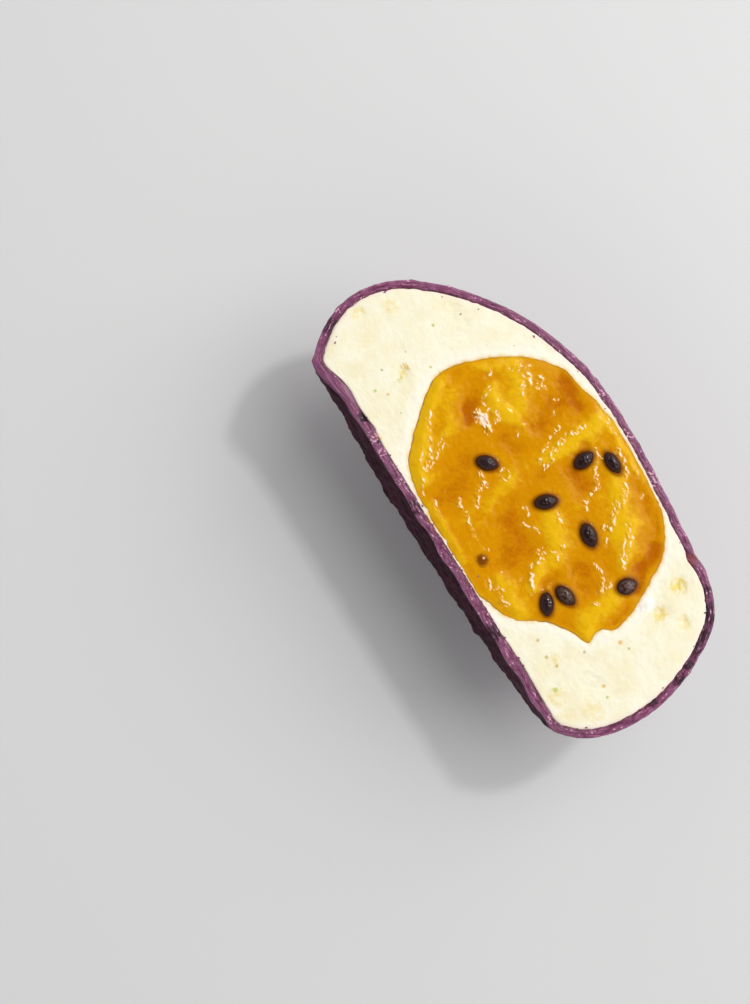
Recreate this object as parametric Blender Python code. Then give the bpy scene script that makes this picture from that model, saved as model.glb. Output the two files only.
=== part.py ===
"""Half of an egg-shaped filled dessert, cut lengthwise and lying on its round side with the cut face up.

A thin purple coat wraps a pale cream, and the cream holds a soft passion fruit centre with its seeds.
Metres, +Z up. X runs along the length, from the pointed end to the blunt end, and +Y points from the
dessert's flat base to the crown of its dome. The origin is the middle of the box, at its foot.

The pieces are modelled in a working frame: its origin is the middle of the cream's straight edge, on
the cut face, and its Z is 0 there. place_on_foot() then moves them down onto the origin.
"""

from math import asin, atan2, cos, hypot, pi, radians, sin

import bmesh
import bpy
import numpy as np
from mathutils import Matrix, Vector

MM = 0.001

# The half dome: half of its plan width, its coat, and how it was cut and came to lie.
HALF_WIDTH = 37.6 * MM
COAT = 2.1 * MM
CREAM_WALL = 0.8 * MM
GAP = 0.3 * MM
CUT_LEAN = radians(4.5)
FOOT_FLAT = 0.9 * MM

# Fullness of the plan at the pointed and the blunt end: 2 is an ellipse, and more is squarer.
PLAN_POINTED, PLAN_BLUNT = 1.95, 2.2

# The coat's outline on the cut face, anticlockwise, in millimetres from the working origin. Its last
# points carry the curve on below the base, where the base plane cuts it off.
WIDEST_AT = (8.2, 15.4)
DOME_OUTLINE = [
    (58.4, 17.0), (58.0, 23.0), (56.0, 31.4), (52.2, 37.9), (47.6, 42.5), (41.4, 45.9),
    (33.0, 47.0), (25.0, 47.6), (16.0, 48.5), (8.0, 49.2), (0.0, 49.5), (-9.0, 49.4),
    (-15.4, 48.6), (-21.2, 47.2), (-27.9, 45.2), (-34.8, 42.0), (-42.0, 37.2), (-49.8, 30.6),
    (-56.0, 22.6), (-58.4, 13.8), (-57.4, 7.6), (-54.6, 2.4), (-49.2, -2.3), (-42.0, -7.0),
    (-30.0, -11.6), (-12.0, -13.8), (8.0, -14.6), (24.0, -13.0), (36.0, -9.6), (44.0, -5.6),
    (50.6, -1.2), (54.6, 3.4), (57.2, 9.6),
]
OUTLINE_SOFTNESS, OUTLINE_SAMPLES = radians(4), 9

# Ridges left on the base where the coat set, and how the base bends down at its pointed end.
BASE_CELL, BASE_CELL_DOWN = 4.2 * MM, 6.3 * MM
BASE_RIDGE = 0.45 * MM
BASE_WAVE = 11.0 * MM
BROAD_SHARE, BROAD_SLANT, BROAD_DRIFT, BROAD_WAVE_DOWN = 0.65, 0.35, 0.2, 0.7
FINE_WAVE_ALONG, FINE_WAVE_DOWN, FINE_STARTS = 2.3, 1.9, (1.3, 0.4)
BASE_BEND = 1.9 * MM
BASE_BEND_FROM, BASE_BEND_TO = -36.0 * MM, -50.0 * MM

# The fruit centre: its outline on the cut face, anticlockwise, and its bowl-shaped depth.
CENTRE_MIDDLE = (2.0, 23.0)
CENTRE_OUTLINE = [
    (37.8, 23.0), (37.0, 27.0), (35.2, 30.6), (33.4, 34.0), (32.0, 37.0), (29.6, 40.2),
    (25.6, 43.4), (21.5, 45.2), (14.0, 46.0), (7.0, 46.4), (0.0, 47.0), (-8.0, 46.6),
    (-13.0, 45.4), (-18.0, 44.2), (-22.0, 41.6), (-25.6, 38.2), (-28.4, 33.4), (-30.8, 28.6),
    (-32.6, 23.6), (-33.4, 18.6), (-31.0, 14.6), (-27.0, 10.2), (-24.0, 6.8), (-21.0, 3.6),
    (-16.0, 1.4), (-8.0, 0.6), (2.0, 0.2), (12.0, 0.2), (18.0, 1.6), (22.0, 3.5),
    (25.2, 6.2), (27.2, 9.2), (30.2, 11.2), (32.2, 13.8), (36.6, 15.6), (35.8, 19.0),
]
CENTRE_DEPTH = 23.0 * MM
CENTRE_SWELL = 0.55 * MM
EDGE_STEEPNESS = 6
BOWL_CUTTER_TOP = 3.0 * MM

# Soft folds of the fruit: start, end, half width and height, in millimetres.
FOLDS = [
    ((-4.5, 43.0), (-3.0, 29.5), 2.2, 0.9),
    ((-27.0, 33.0), (-14.0, 27.0), 3.0, 0.7),
    ((-29.0, 15.0), (-15.0, 4.0), 2.6, 0.7),
    ((-6.0, 19.5), (-3.0, 10.5), 2.0, 0.7),
    ((3.5, 39.0), (10.5, 31.0), 2.0, 0.8),
    ((11.0, 42.0), (17.5, 32.0), 2.2, 0.8),
    ((18.5, 38.0), (26.5, 30.5), 2.4, 0.8),
    ((8.0, 25.0), (16.0, 18.5), 2.8, 0.6),
    ((15.0, 16.0), (21.0, 10.5), 2.2, 0.7),
    ((29.0, 25.0), (32.0, 16.5), 2.8, 0.6),
    ((-7.0, 7.0), (14.0, 3.6), 1.8, 0.5),
]
# Hollows between the folds: place, radius and depth, in millimetres.
HOLLOWS = [
    ((-12.0, 43.0), 5.0, 0.7),
    ((-20.5, 20.5), 3.6, 1.1),
    ((-11.0, 33.5), 4.5, 0.7),
    ((3.5, 33.5), 3.6, 0.9),
    ((-12.0, 13.0), 5.0, 0.7),
    ((9.0, 14.5), 5.0, 0.9),
    ((24.0, 22.0), 4.5, 0.8),
    ((27.0, 41.0), 3.6, 0.7),
    ((35.0, 27.0), 3.0, 0.6),
]

# Seeds on the fruit: place, turn in degrees, length and width, in millimetres.
SEEDS = [
    ((-9.8, 17.8), 42.0, 5.3, 3.4),
    ((1.3, 36.8), 98.0, 5.2, 3.6),
    ((5.3, 42.0), 2.0, 5.6, 3.1),
    ((4.8, 24.5), 66.0, 5.5, 3.5),
    ((16.4, 28.7), -8.0, 5.9, 3.6),
    ((30.8, 29.9), 76.0, 4.9, 3.8),
    ((25.2, 16.9), 14.0, 5.7, 3.4),
    ((24.6, 12.3), -26.0, 5.5, 3.2),
]
SEED_THICKNESS = 2.5 * MM
SEED_PROUD = 0.35 * MM
SEED_TAPER = 0.32

# How finely the round shapes are divided.
DOME_AROUND, DOME_STATIONS = 48, 36
CENTRE_AROUND, CENTRE_RINGS = 72, 26
SMOOTH_UP_TO = radians(40)


def smooth_step(t):
    """0 up to t = 0, 1 from t = 1, and a smooth rise between."""
    t = min(max(t, 0.0), 1.0)
    return t * t * (3 - 2 * t)


def mix(a, b, share):
    return a + (b - a) * share


def flat_point(pair):
    """A pair of millimetres as a point on the cut face, in metres."""
    return Vector((pair[0], pair[1], 0.0)) * MM


def material(name, colour, roughness):
    """A plain Principled BSDF."""
    made = bpy.data.materials.new(name)
    made.use_nodes = True
    shader = made.node_tree.nodes["Principled BSDF"]
    shader.inputs["Base Color"].default_value = (*colour, 1.0)
    shader.inputs["Roughness"].default_value = roughness
    shader.inputs["Metallic"].default_value = 0.0
    return made


def clear_scene():
    for obj in list(bpy.data.objects):
        bpy.data.objects.remove(obj)


def new_collection(name):
    made = bpy.data.collections.new(name)
    bpy.context.scene.collection.children.link(made)
    return made


def to_object(bm, name, collection):
    """The bmesh as a named object in this collection."""
    bmesh.ops.recalc_face_normals(bm, faces=bm.faces)
    mesh = bpy.data.meshes.new(name)
    bm.to_mesh(mesh)
    bm.free()
    obj = bpy.data.objects.new(name, mesh)
    collection.objects.link(obj)
    return obj


def cut_off(bm, point, normal):
    """Removes what lies on the normal's side of a plane, and closes the cut with one flat face."""
    made = bmesh.ops.bisect_plane(
        bm,
        geom=bm.verts[:] + bm.edges[:] + bm.faces[:],
        dist=1e-7,
        plane_co=point,
        plane_no=normal,
        clear_outer=True,
    )
    rim = [part for part in made["geom_cut"] if isinstance(part, bmesh.types.BMEdge)]
    bmesh.ops.contextual_create(bm, geom=rim)


def polar_reach(outline, middle, inset=0.0, softness=0.0):
    """A function that gives an inset outline as its distance from the middle, by direction."""
    points = np.array(outline) * MM
    run = np.roll(points, -1, axis=0) - np.roll(points, 1, axis=0)
    outward = np.stack((run[:, 1], -run[:, 0]), axis=1)
    outward /= np.linalg.norm(outward, axis=1, keepdims=True)
    points = points - inset * outward - np.array(middle) * MM
    angles = np.arctan2(points[:, 1], points[:, 0])
    order = np.argsort(angles)
    angles = angles[order]
    reaches = np.linalg.norm(points, axis=1)[order]
    spread = softness * np.linspace(-1, 1, OUTLINE_SAMPLES)

    def reach(angle):
        return float(np.interp(angle + spread, angles, reaches, period=2 * pi).mean())

    return reach


def dome_reach(direction, face_reach, inset):
    """How far the dome's surface is from its middle, along a unit direction."""
    along, up, side = direction
    fullness = mix(PLAN_POINTED, PLAN_BLUNT, smooth_step(0.5 + along))
    in_face = hypot(along, up) / face_reach(atan2(up, along))
    aside = abs(side) / (HALF_WIDTH - inset)
    return (in_face**fullness + aside**fullness) ** (-1 / fullness)


def ridge_height(x, z):
    """How far the base's ridges stand out at this place."""
    turn = 2 * pi / BASE_WAVE
    broad = sin(turn * (x + BROAD_SLANT * z)) * cos(BROAD_WAVE_DOWN * turn * (z - BROAD_DRIFT * x))
    along, down = FINE_WAVE_ALONG * turn * x, FINE_WAVE_DOWN * turn * z
    fine = sin(along + FINE_STARTS[0]) * sin(down + FINE_STARTS[1])
    return BASE_RIDGE * (BROAD_SHARE * broad + (1 - BROAD_SHARE) * fine)


def bend_down(x, y):
    """How far the pointed end bends down at this place, from its widest level to its base."""
    along = smooth_step((x - BASE_BEND_FROM) / (BASE_BEND_TO - BASE_BEND_FROM))
    widest = WIDEST_AT[1] * MM
    return BASE_BEND * along * smooth_step((widest - y) / (widest + COAT))


def divide_base(bm, level):
    """Divides the flat base into small cells, and gives back their corners."""
    ends = [x * MM for x, _ in DOME_OUTLINE]
    cuts = [
        (Vector((x, 0, 0)), Vector((1, 0, 0)))
        for x in np.arange(min(ends) + BASE_CELL, max(ends), BASE_CELL)
    ]
    cuts += [
        (Vector((0, 0, z)), Vector((0, 0, 1)))
        for z in np.arange(-HALF_WIDTH + BASE_CELL, HALF_WIDTH, BASE_CELL_DOWN)
    ]
    for point, normal in cuts:
        patch = [f for f in bm.faces if all(abs(v.co.y - level) < 1e-6 for v in f.verts)]
        edges = {edge for face in patch for edge in face.edges}
        corners = {corner for face in patch for corner in face.verts}
        bmesh.ops.bisect_plane(
            bm,
            geom=[*patch, *edges, *corners],
            dist=1e-6,
            plane_co=point,
            plane_no=normal,
        )
    return [vertex for vertex in bm.verts if abs(vertex.co.y - level) < 1e-6]


def dome(inset, ridged=False):
    """The whole closed dome, inset by this much, with its base on, leaning as it was cut."""
    middle = flat_point(WIDEST_AT)
    face_reach = polar_reach(DOME_OUTLINE, WIDEST_AT, inset, OUTLINE_SOFTNESS)
    bm = bmesh.new()
    bmesh.ops.create_uvsphere(
        bm, u_segments=DOME_AROUND, v_segments=DOME_STATIONS, radius=1.0
    )
    for vertex in bm.verts:
        side, up, along = vertex.co.normalized()
        direction = Vector((along, up, -side))
        vertex.co = middle + direction * dome_reach(direction, face_reach, inset)
    base_level = inset - COAT
    cut_off(bm, Vector((0, base_level, 0)), Vector((0, -1, 0)))
    corners = divide_base(bm, base_level)
    for vertex in bm.verts:
        vertex.co.y -= bend_down(vertex.co.x, vertex.co.y)
    for vertex in corners if ridged else ():
        vertex.co.y -= ridge_height(vertex.co.x, vertex.co.z)
    pivot = Matrix.Translation((0, -COAT, 0))
    lean = pivot @ Matrix.Rotation(-CUT_LEAN, 4, "X") @ pivot.inverted()
    bmesh.ops.transform(bm, matrix=lean, verts=bm.verts)
    return bm


def subtract(obj, cutter):
    """A Boolean difference that stays on the object."""
    cutter.hide_render = True
    cutter.display_type = "WIRE"
    cut = obj.modifiers.new("Cut", "BOOLEAN")
    cut.operation = "DIFFERENCE"
    cut.solver = "EXACT"
    cut.object = cutter


def make_coat(parts, cutters):
    """The purple coat: the dome's skin and base, open at the cut face, with a small flat to lie on."""
    bm = dome(0.0, ridged=True)
    cut_off(bm, Vector((0, 0, 0)), Vector((0, 0, 1)))
    foot = min(vertex.co.z for vertex in bm.verts) + FOOT_FLAT
    cut_off(bm, Vector((0, 0, foot)), Vector((0, 0, -1)))
    coat = to_object(bm, "purple_coat", parts)
    subtract(coat, to_object(dome(COAT), "coat_hollow", cutters))
    coat.data.materials.append(material("purple_coat", (0.19, 0.055, 0.125), 0.5))
    return coat


def fold_height(x, y):
    """Height of the folds and hollows at a place on the fruit, in metres."""
    place = np.array((x, y)) / MM
    height = 0.0
    for start, end, half_width, rise in FOLDS:
        start, run = np.array(start), np.subtract(end, start)
        share = np.clip(np.dot(place - start, run) / np.dot(run, run), 0, 1)
        off = np.linalg.norm(place - start - share * run) / half_width
        height += rise * np.exp(-off * off)
    for middle, radius, depth in HOLLOWS:
        off = np.linalg.norm(place - np.array(middle)) / radius
        height -= depth * np.exp(-off * off)
    return height * MM


def centre_edge(angle, edge_reach, wall_reach):
    """The fruit's outline in this direction, kept clear of the coat by a wall of cream."""
    edge = flat_point(CENTRE_MIDDLE)
    edge += edge_reach(angle) * Vector((cos(angle), sin(angle), 0.0))
    edge.y = max(edge.y, GAP + CREAM_WALL + GAP)
    from_widest = edge - flat_point(WIDEST_AT)
    most = wall_reach(atan2(from_widest.y, from_widest.x))
    if from_widest.length > most:
        from_widest.length = most
    return flat_point(WIDEST_AT) + from_widest


def centre_blob(grow=0.0, top=None):
    """The fruit centre: a bowl below the cut face, with its soft top or, for a cutter, a raised one."""
    edge_reach = polar_reach(CENTRE_OUTLINE, CENTRE_MIDDLE)
    wall = COAT + GAP + CREAM_WALL + GAP
    wall_reach = polar_reach(DOME_OUTLINE, WIDEST_AT, wall, OUTLINE_SOFTNESS)
    middle = flat_point(CENTRE_MIDDLE)
    bm = bmesh.new()
    bmesh.ops.create_uvsphere(
        bm, u_segments=CENTRE_AROUND, v_segments=CENTRE_RINGS, radius=1.0
    )
    for vertex in bm.verts:
        x, y, z = vertex.co.normalized()
        spoke = centre_edge(atan2(y, x), edge_reach, wall_reach) - middle
        spoke.length += grow
        if z < -1e-6:
            vertex.co = middle + hypot(x, y) * spoke
            vertex.co.z = z * (CENTRE_DEPTH + grow)
            continue
        share = 1 - asin(min(z, 1.0)) / (pi / 2)
        vertex.co = middle + share * spoke
        if top is None:
            level = CENTRE_SWELL + fold_height(vertex.co.x, vertex.co.y)
            vertex.co.z = (1 - share**EDGE_STEEPNESS) * level
        else:
            vertex.co.z = (1 - share**EDGE_STEEPNESS) * top
    return bm


def make_seed(index, place, turn, length, width, collection):
    """One seed: a flat ovoid with a pointed tip, half sunk in the fruit."""
    bm = bmesh.new()
    bmesh.ops.create_icosphere(bm, subdivisions=2, radius=0.5)
    for vertex in bm.verts:
        slim = 1 - SEED_TAPER * max(0.0, 2 * vertex.co.x) ** 2
        vertex.co.x *= length * MM
        vertex.co.y *= width * MM * slim
        vertex.co.z *= SEED_THICKNESS * slim
    at = flat_point(place)
    at.z = CENTRE_SWELL + fold_height(at.x, at.y) + SEED_PROUD
    matrix = Matrix.Translation(at) @ Matrix.Rotation(radians(turn), 4, "Z")
    bmesh.ops.transform(bm, matrix=matrix, verts=bm.verts)
    return to_object(bm, f"seed_{index}", collection)


def make_centre(parts):
    """The fruit centre with its seeds joined on."""
    centre = to_object(centre_blob(), "passion_fruit_centre", parts)
    seeds = new_collection("seeds")
    for index, seed in enumerate(SEEDS, start=1):
        make_seed(index, *seed, seeds)
    union = centre.modifiers.new("Seeds", "BOOLEAN")
    union.operation = "UNION"
    union.solver = "EXACT"
    union.operand_type = "COLLECTION"
    union.collection = seeds
    bpy.context.view_layer.objects.active = centre
    bpy.ops.object.modifier_apply(modifier=union.name)
    for seed in list(seeds.objects):
        bpy.data.objects.remove(seed)
    bpy.data.collections.remove(seeds)
    centre.data.materials.clear()
    centre.data.materials.append(material("passion_fruit", (0.62, 0.25, 0.005), 0.2))
    return centre


def make_cream(parts, cutters):
    """The cream between the coat and the fruit centre."""
    bm = dome(COAT + GAP)
    cut_off(bm, Vector((0, 0, 0)), Vector((0, 0, 1)))
    cream = to_object(bm, "cream_filling", parts)
    bowl = centre_blob(grow=GAP, top=BOWL_CUTTER_TOP)
    subtract(cream, to_object(bowl, "cream_bowl", cutters))
    cream.data.materials.append(material("cream", (0.95, 0.87, 0.64), 0.55))
    return cream


def place_on_foot(coat, objects):
    """Moves everything so that the origin is the middle of the coat's box, at its foot."""
    corners = np.array([vertex.co for vertex in coat.data.vertices])
    low, high = corners.min(axis=0), corners.max(axis=0)
    shift = Vector((-(low[0] + high[0]) / 2, -(low[1] + high[1]) / 2, -low[2]))
    for obj in objects:
        obj.data.transform(Matrix.Translation(shift))


def main():
    clear_scene()
    parts = new_collection("filled_dessert_half")
    cutters = new_collection("cutters")
    coat = make_coat(parts, cutters)
    make_cream(parts, cutters)
    make_centre(parts)
    place_on_foot(coat, [*parts.objects, *cutters.objects])
    for obj in parts.objects:
        obj.data.shade_smooth()
        obj.data.set_sharp_from_angle(angle=SMOOTH_UP_TO)


main()
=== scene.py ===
# %% [markdown]
# # Half of an egg-shaped filled dessert
# The real one is a set cream, made in an egg-shaped mould, with passion fruit jelly in its heart and a
# thin purple coat round it. It has been cut lengthwise, and this half lies on its round side, so the cut
# face looks up. A CAD model of it is loaded first, as a frame that nothing may leave. Each of its three
# plain solids is then replaced by a piece with the relief and the finish of the real one.

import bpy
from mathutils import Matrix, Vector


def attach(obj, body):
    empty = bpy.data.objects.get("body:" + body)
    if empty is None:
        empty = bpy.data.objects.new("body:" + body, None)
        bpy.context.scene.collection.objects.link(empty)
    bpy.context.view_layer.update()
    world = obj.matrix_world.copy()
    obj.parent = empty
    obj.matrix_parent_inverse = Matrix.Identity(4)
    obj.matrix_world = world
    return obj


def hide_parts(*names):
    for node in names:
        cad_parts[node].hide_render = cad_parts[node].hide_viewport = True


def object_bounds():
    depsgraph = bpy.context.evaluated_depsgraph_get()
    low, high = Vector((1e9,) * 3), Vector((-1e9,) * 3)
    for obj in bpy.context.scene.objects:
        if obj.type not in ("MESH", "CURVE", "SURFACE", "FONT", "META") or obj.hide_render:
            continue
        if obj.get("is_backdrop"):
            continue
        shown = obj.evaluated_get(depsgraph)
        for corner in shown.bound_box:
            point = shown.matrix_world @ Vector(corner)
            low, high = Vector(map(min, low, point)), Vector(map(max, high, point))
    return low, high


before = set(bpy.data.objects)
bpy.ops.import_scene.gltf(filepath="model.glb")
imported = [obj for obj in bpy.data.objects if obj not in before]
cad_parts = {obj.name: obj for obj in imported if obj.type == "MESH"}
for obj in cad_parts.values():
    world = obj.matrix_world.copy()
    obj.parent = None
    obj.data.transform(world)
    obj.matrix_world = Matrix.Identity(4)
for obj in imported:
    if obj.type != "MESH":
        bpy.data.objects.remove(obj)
cad_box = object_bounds()
print("CAD nodes:", sorted(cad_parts))
print("CAD box, metres:", [tuple(round(v, 4) for v in corner) for corner in cad_box])

# %% Tools
from math import cos, pi, radians, sin
from random import Random

import bmesh
import bpy
import numpy as np
from mathutils import Matrix, Vector, noise

print("Blender", bpy.app.version_string)

# %% [markdown]
# ## One set of axes for everything
# Everything on this dessert is measured on its cut face, so that face gives the working axes: millimetres
# from the middle of the cream's straight edge, x along the length towards the blunt end, y up to the crown
# and z out of the cut. `on_part` carries such places over to the CAD model's own origin, in metres.

# %% Working axes
MM = 0.001
FACE_ORIGIN = np.array((-0.215, -22.382, 38.013))


def on_part(places):
    """Working millimetres as metres on the part."""
    return (np.asarray(places) + FACE_ORIGIN) * MM


print("the cut face lies at z =", float(on_part((0, 0, 0))[2]), "m")

# %% [markdown]
# ## Small helpers
# Relief is worked out for all of a piece's corners at once, with numpy. `soft_noise` gives gentle, even
# unevenness that is the same each time the script runs, because it depends only on the place.


# %% Helpers for relief
def rise(value, start=0.0, end=1.0):
    """0 before the start, 1 past the end, and a smooth rise between."""
    t = np.clip((np.asarray(value, float) - start) / (end - start), 0, 1)
    return t * t * (3 - 2 * t)


def mix(a, b, share):
    """A value between two others, by a share from 0 to 1."""
    return a + (b - a) * share


def bell(value, width):
    """1 where the value is 0, fading to 0 on both sides."""
    return np.exp(-((np.asarray(value) / width) ** 2))


def arrows(turn):
    """Arrows of length 1 on the cut face, at these compass angles."""
    return np.stack((np.cos(turn), np.sin(turn), 0 * turn), axis=1)


def soft_noise(places, size, shift=0.0, octaves=2):
    """Unevenness from about -1 to 1, with lumps of this size in mm. Another shift gives other lumps."""
    move = Vector((shift, 1.7 * shift, -shift))
    spots = (np.asarray(places) / size + np.array(move)).tolist()
    return np.array([noise.fractal(spot, 1.0, 2.0, octaves) for spot in spots])


def bump_at(places, middle, radius):
    """1 at a place on the cut face, fading to 0 round it."""
    return bell(np.hypot(places[:, 0] - middle[0], places[:, 1] - middle[1]), radius)


def line_distance(places, line):
    """How far each place is from a bent line on the cut face."""
    flat, least = places[:, :2], np.full(len(places), 1e9)
    for start, end in zip(line, line[1:]):
        start, run = np.array(start, float), np.subtract(end, start)
        share = np.clip((flat - start) @ run / (run @ run), 0, 1)
        off = flat - start - share[:, None] * run
        least = np.minimum(least, np.hypot(off[:, 0], off[:, 1]))
    return least


print("noise at two places:", soft_noise(np.array([(0, 0, 0), (5, 2, 0)]) + 0.3, 2.0))


# %% [markdown]
# ## From a ball to a piece
# Coat, cream and jelly are all closed shapes without holes, so each starts as a ball and is pushed into
# shape. A ball pushed in on itself is a bowl: its lower half becomes the outside, its upper half the
# inside, and the rows between them the rim, so the faces stay in neat rows. Blender's own ball operator is
# slow with this many rows, so a grid is rolled up into the ball, and its seam and poles are merged.


# %% Helpers for pieces
def ball(around, rows):
    """A closed ball, with the compass angle and the row of each corner, rows counted from below."""
    bm = bmesh.new()
    bmesh.ops.create_grid(bm, x_segments=around, y_segments=rows, size=1.0)
    for vertex in bm.verts:
        turn, tilt = vertex.co.x * pi, vertex.co.y * pi / 2
        vertex.co = (cos(tilt) * cos(turn), cos(tilt) * sin(turn), sin(tilt))
    bmesh.ops.remove_doubles(bm, verts=bm.verts, dist=1e-6)
    corners = np.array([vertex.co for vertex in bm.verts])
    turn = np.arctan2(corners[:, 1], corners[:, 0])
    height = np.clip(corners[:, 2], -1, 1)
    return bm, turn, np.rint((0.5 + np.arcsin(height) / pi) * rows)


def place_corners(bm, places):
    """Moves the corners to these working millimetres."""
    for vertex, place in zip(bm.verts, on_part(places)):
        vertex.co = place


def in_scene(name, data):
    """A new object in the scene, which shows this mesh, light or camera."""
    thing = bpy.data.objects.new(name, data)
    bpy.context.scene.collection.objects.link(thing)
    return thing


def to_piece(bm, name, finishes, masks=None):
    """The bmesh as a smooth piece that rides on the body, with masks that its finish reads."""
    bmesh.ops.recalc_face_normals(bm, faces=bm.faces)
    mesh = bpy.data.meshes.new(name)
    bm.to_mesh(mesh)
    bm.free()
    mesh.shade_smooth()
    for mask, values in (masks or {}).items():
        values = np.asarray(values, np.float32)
        kind, field = ("FLOAT_VECTOR", "vector") if values.ndim == 2 else ("FLOAT", "value")
        layer = mesh.attributes.new(mask, kind, "POINT")
        layer.data.foreach_set(field, values.ravel())
    for finish in finishes:
        mesh.materials.append(finish)
    piece = in_scene(name, mesh)
    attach(piece, "root")
    print(name, "has", sum(len(p.vertices) - 2 for p in mesh.polygons), "triangles")
    return piece


bm, turn, row = ball(8, 4)
print("a ball of 8 by 4 has", len(bm.verts), "corners in", len(set(row)), "rows")
bm.free()

# %% [markdown]
# ## The outline of the cut
# The face was read from the real one as a row of places round the outside of the coat. They are kept
# as distances from one middle, by compass angle, so that they can be blurred a little, which takes the
# corners out, and set in by the coat's thickness for the inside.

# %% Outline of the coat on the cut face
WIDEST_AT = (8.2, 15.4)
TABLE_ANGLES, BLUR_STEPS = 1441, 9
DOME_OUTLINE = [
    (58.4, 17.0), (57.9, 22.6), (55.3, 31.2), (52.1, 37.6), (48.0, 43.0), (41.4, 46.1),
    (33.0, 47.0), (25.0, 47.6), (16.0, 48.5), (8.0, 49.2), (0.0, 49.5), (-9.0, 49.4),
    (-15.4, 49.0), (-21.2, 47.4), (-27.9, 45.2), (-34.8, 42.0), (-42.0, 37.2), (-49.8, 30.6),
    (-56.5, 22.0), (-58.8, 13.6), (-57.9, 7.7), (-54.6, 2.4), (-49.6, -2.3), (-42.0, -7.0),
    (-30.0, -11.6), (-12.0, -13.8), (8.0, -14.6), (24.0, -13.0), (36.0, -9.6), (44.0, -5.6),
    (50.7, -1.3), (55.0, 2.9), (57.6, 9.2),
]


def polar_reach(outline, middle, inset=0.0, softness=0.0):
    """A function that gives an inset outline as its distance from the middle, by compass angle."""
    points = np.array(outline, float)
    run = np.roll(points, -1, axis=0) - np.roll(points, 1, axis=0)
    outward = np.stack((run[:, 1], -run[:, 0]), axis=1)
    outward /= np.linalg.norm(outward, axis=1, keepdims=True)
    points = points - inset * outward - np.array(middle)
    angles = np.arctan2(points[:, 1], points[:, 0])
    order = np.argsort(angles)
    reaches = np.linalg.norm(points, axis=1)[order]
    fine = np.linspace(-pi, pi, TABLE_ANGLES)
    spread = softness * np.linspace(-1, 1, BLUR_STEPS)
    near = [np.interp(fine + s, angles[order], reaches, period=2 * pi) for s in spread]
    table = np.mean(near, axis=0)
    return lambda angle: np.interp(angle, fine, table)


print("reach to the crown:", float(polar_reach(DOME_OUTLINE, WIDEST_AT)(pi / 2)), "mm")

# %% [markdown]
# ## The dome and its base as one solid
# The moulded dome is an ellipsoid with a squarer plan at the blunt end, and the base is nearly flat, with
# ridges where the coat ran and set. The knife went in at a slight angle, so the base leans under the face.
# `depth_inside` says how deep a place lies in that solid. Taking the soft least of the depths below each
# surface rounds the corner between them, as the poured coat does.

# %% Sizes of the dome and base
HALF_WIDTH, COAT, CUT_LEAN, FOOT_LEVEL = 37.6, 2.1, radians(4.5), -float(FACE_ORIGIN[2])
PLAN_POINTED, PLAN_BLUNT = 1.95, 2.2
OUTLINE_SOFTNESS = radians(3)
BASE_RIDGE, BASE_WAVE = 0.45, 11.0
BROAD_SHARE, BROAD_SLANT, BROAD_DRIFT, BROAD_WAVE_DOWN = 0.65, 0.35, 0.2, 0.7
FINE_WAVE_ALONG, FINE_WAVE_DOWN, FINE_STARTS = 2.3, 1.9, (1.3, 0.4)
BASE_BEND, BASE_BEND_FROM, BASE_BEND_TO = 1.9, -36.0, -50.0
CORNER_ROUNDING, FOOT_ROUNDING = 1.1, 0.8
LONGEST_RAY, HALVINGS = 80.0, 16
OUTSIDE = polar_reach(DOME_OUTLINE, WIDEST_AT, 0.0, OUTLINE_SOFTNESS)
INSIDE = polar_reach(DOME_OUTLINE, WIDEST_AT, COAT, OUTLINE_SOFTNESS)
print("coat", COAT, "mm thick, half width", HALF_WIDTH, "mm, foot", -FOOT_LEVEL, "mm below the cut")


# %% Depth inside the solid
def bend_down(x, y):
    """How far the base bends down towards the pointed end."""
    fade = rise(WIDEST_AT[1] - y, 0, WIDEST_AT[1] + COAT)
    return BASE_BEND * rise(x, BASE_BEND_FROM, BASE_BEND_TO) * fade


def before_lean(places):
    """The places as they were before the knife's lean and the bend of the base."""
    x, y, z = np.asarray(places).T
    y, z = (
        (y + COAT) * cos(CUT_LEAN) - z * sin(CUT_LEAN) - COAT,
        (y + COAT) * sin(CUT_LEAN) + z * cos(CUT_LEAN),
    )
    return x, y + bend_down(x, y + bend_down(x, y)), z


def base_ridges(x, z):
    """How far the ridges of the base stand out."""
    turn = 2 * pi / BASE_WAVE
    broad = np.sin(turn * (x + BROAD_SLANT * z)) * np.cos(BROAD_WAVE_DOWN * turn * (z - BROAD_DRIFT * x))
    along, down = FINE_WAVE_ALONG * turn * x, FINE_WAVE_DOWN * turn * z
    fine = np.sin(along + FINE_STARTS[0]) * np.sin(down + FINE_STARTS[1])
    return BASE_RIDGE * mix(fine, broad, BROAD_SHARE)


def soft_least(a, b, width):
    """The lesser of two depths, with a rounded change from one to the other."""
    share = np.clip(0.5 + 0.5 * (b - a) / width, 0, 1)
    return mix(b, a, share) - width * share * (1 - share)


def depth_inside(places, inset=0.0, ridges=0.0):
    """How deep each place lies below the dome, the base and, for the outside, the foot."""
    x, y, z = before_lean(places)
    along, up = x - WIDEST_AT[0], y - WIDEST_AT[1]
    far = np.sqrt(along**2 + up**2 + z**2) + 1e-9
    fullness = mix(PLAN_POINTED, PLAN_BLUNT, rise(0.5 + along / far))
    reach = (INSIDE if inset else OUTSIDE)(np.arctan2(up, along))
    in_face, aside = np.hypot(along, up) / reach, np.abs(z) / (HALF_WIDTH - inset)
    below_skin = (1 / (in_face**fullness + aside**fullness) ** (1 / fullness) - 1) * far
    above_base = y - (inset - COAT) + ridges * base_ridges(x, z)
    depth = soft_least(below_skin, above_base, CORNER_ROUNDING)
    return depth if inset else soft_least(depth, places[:, 2] - FOOT_LEVEL, FOOT_ROUNDING)


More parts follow.
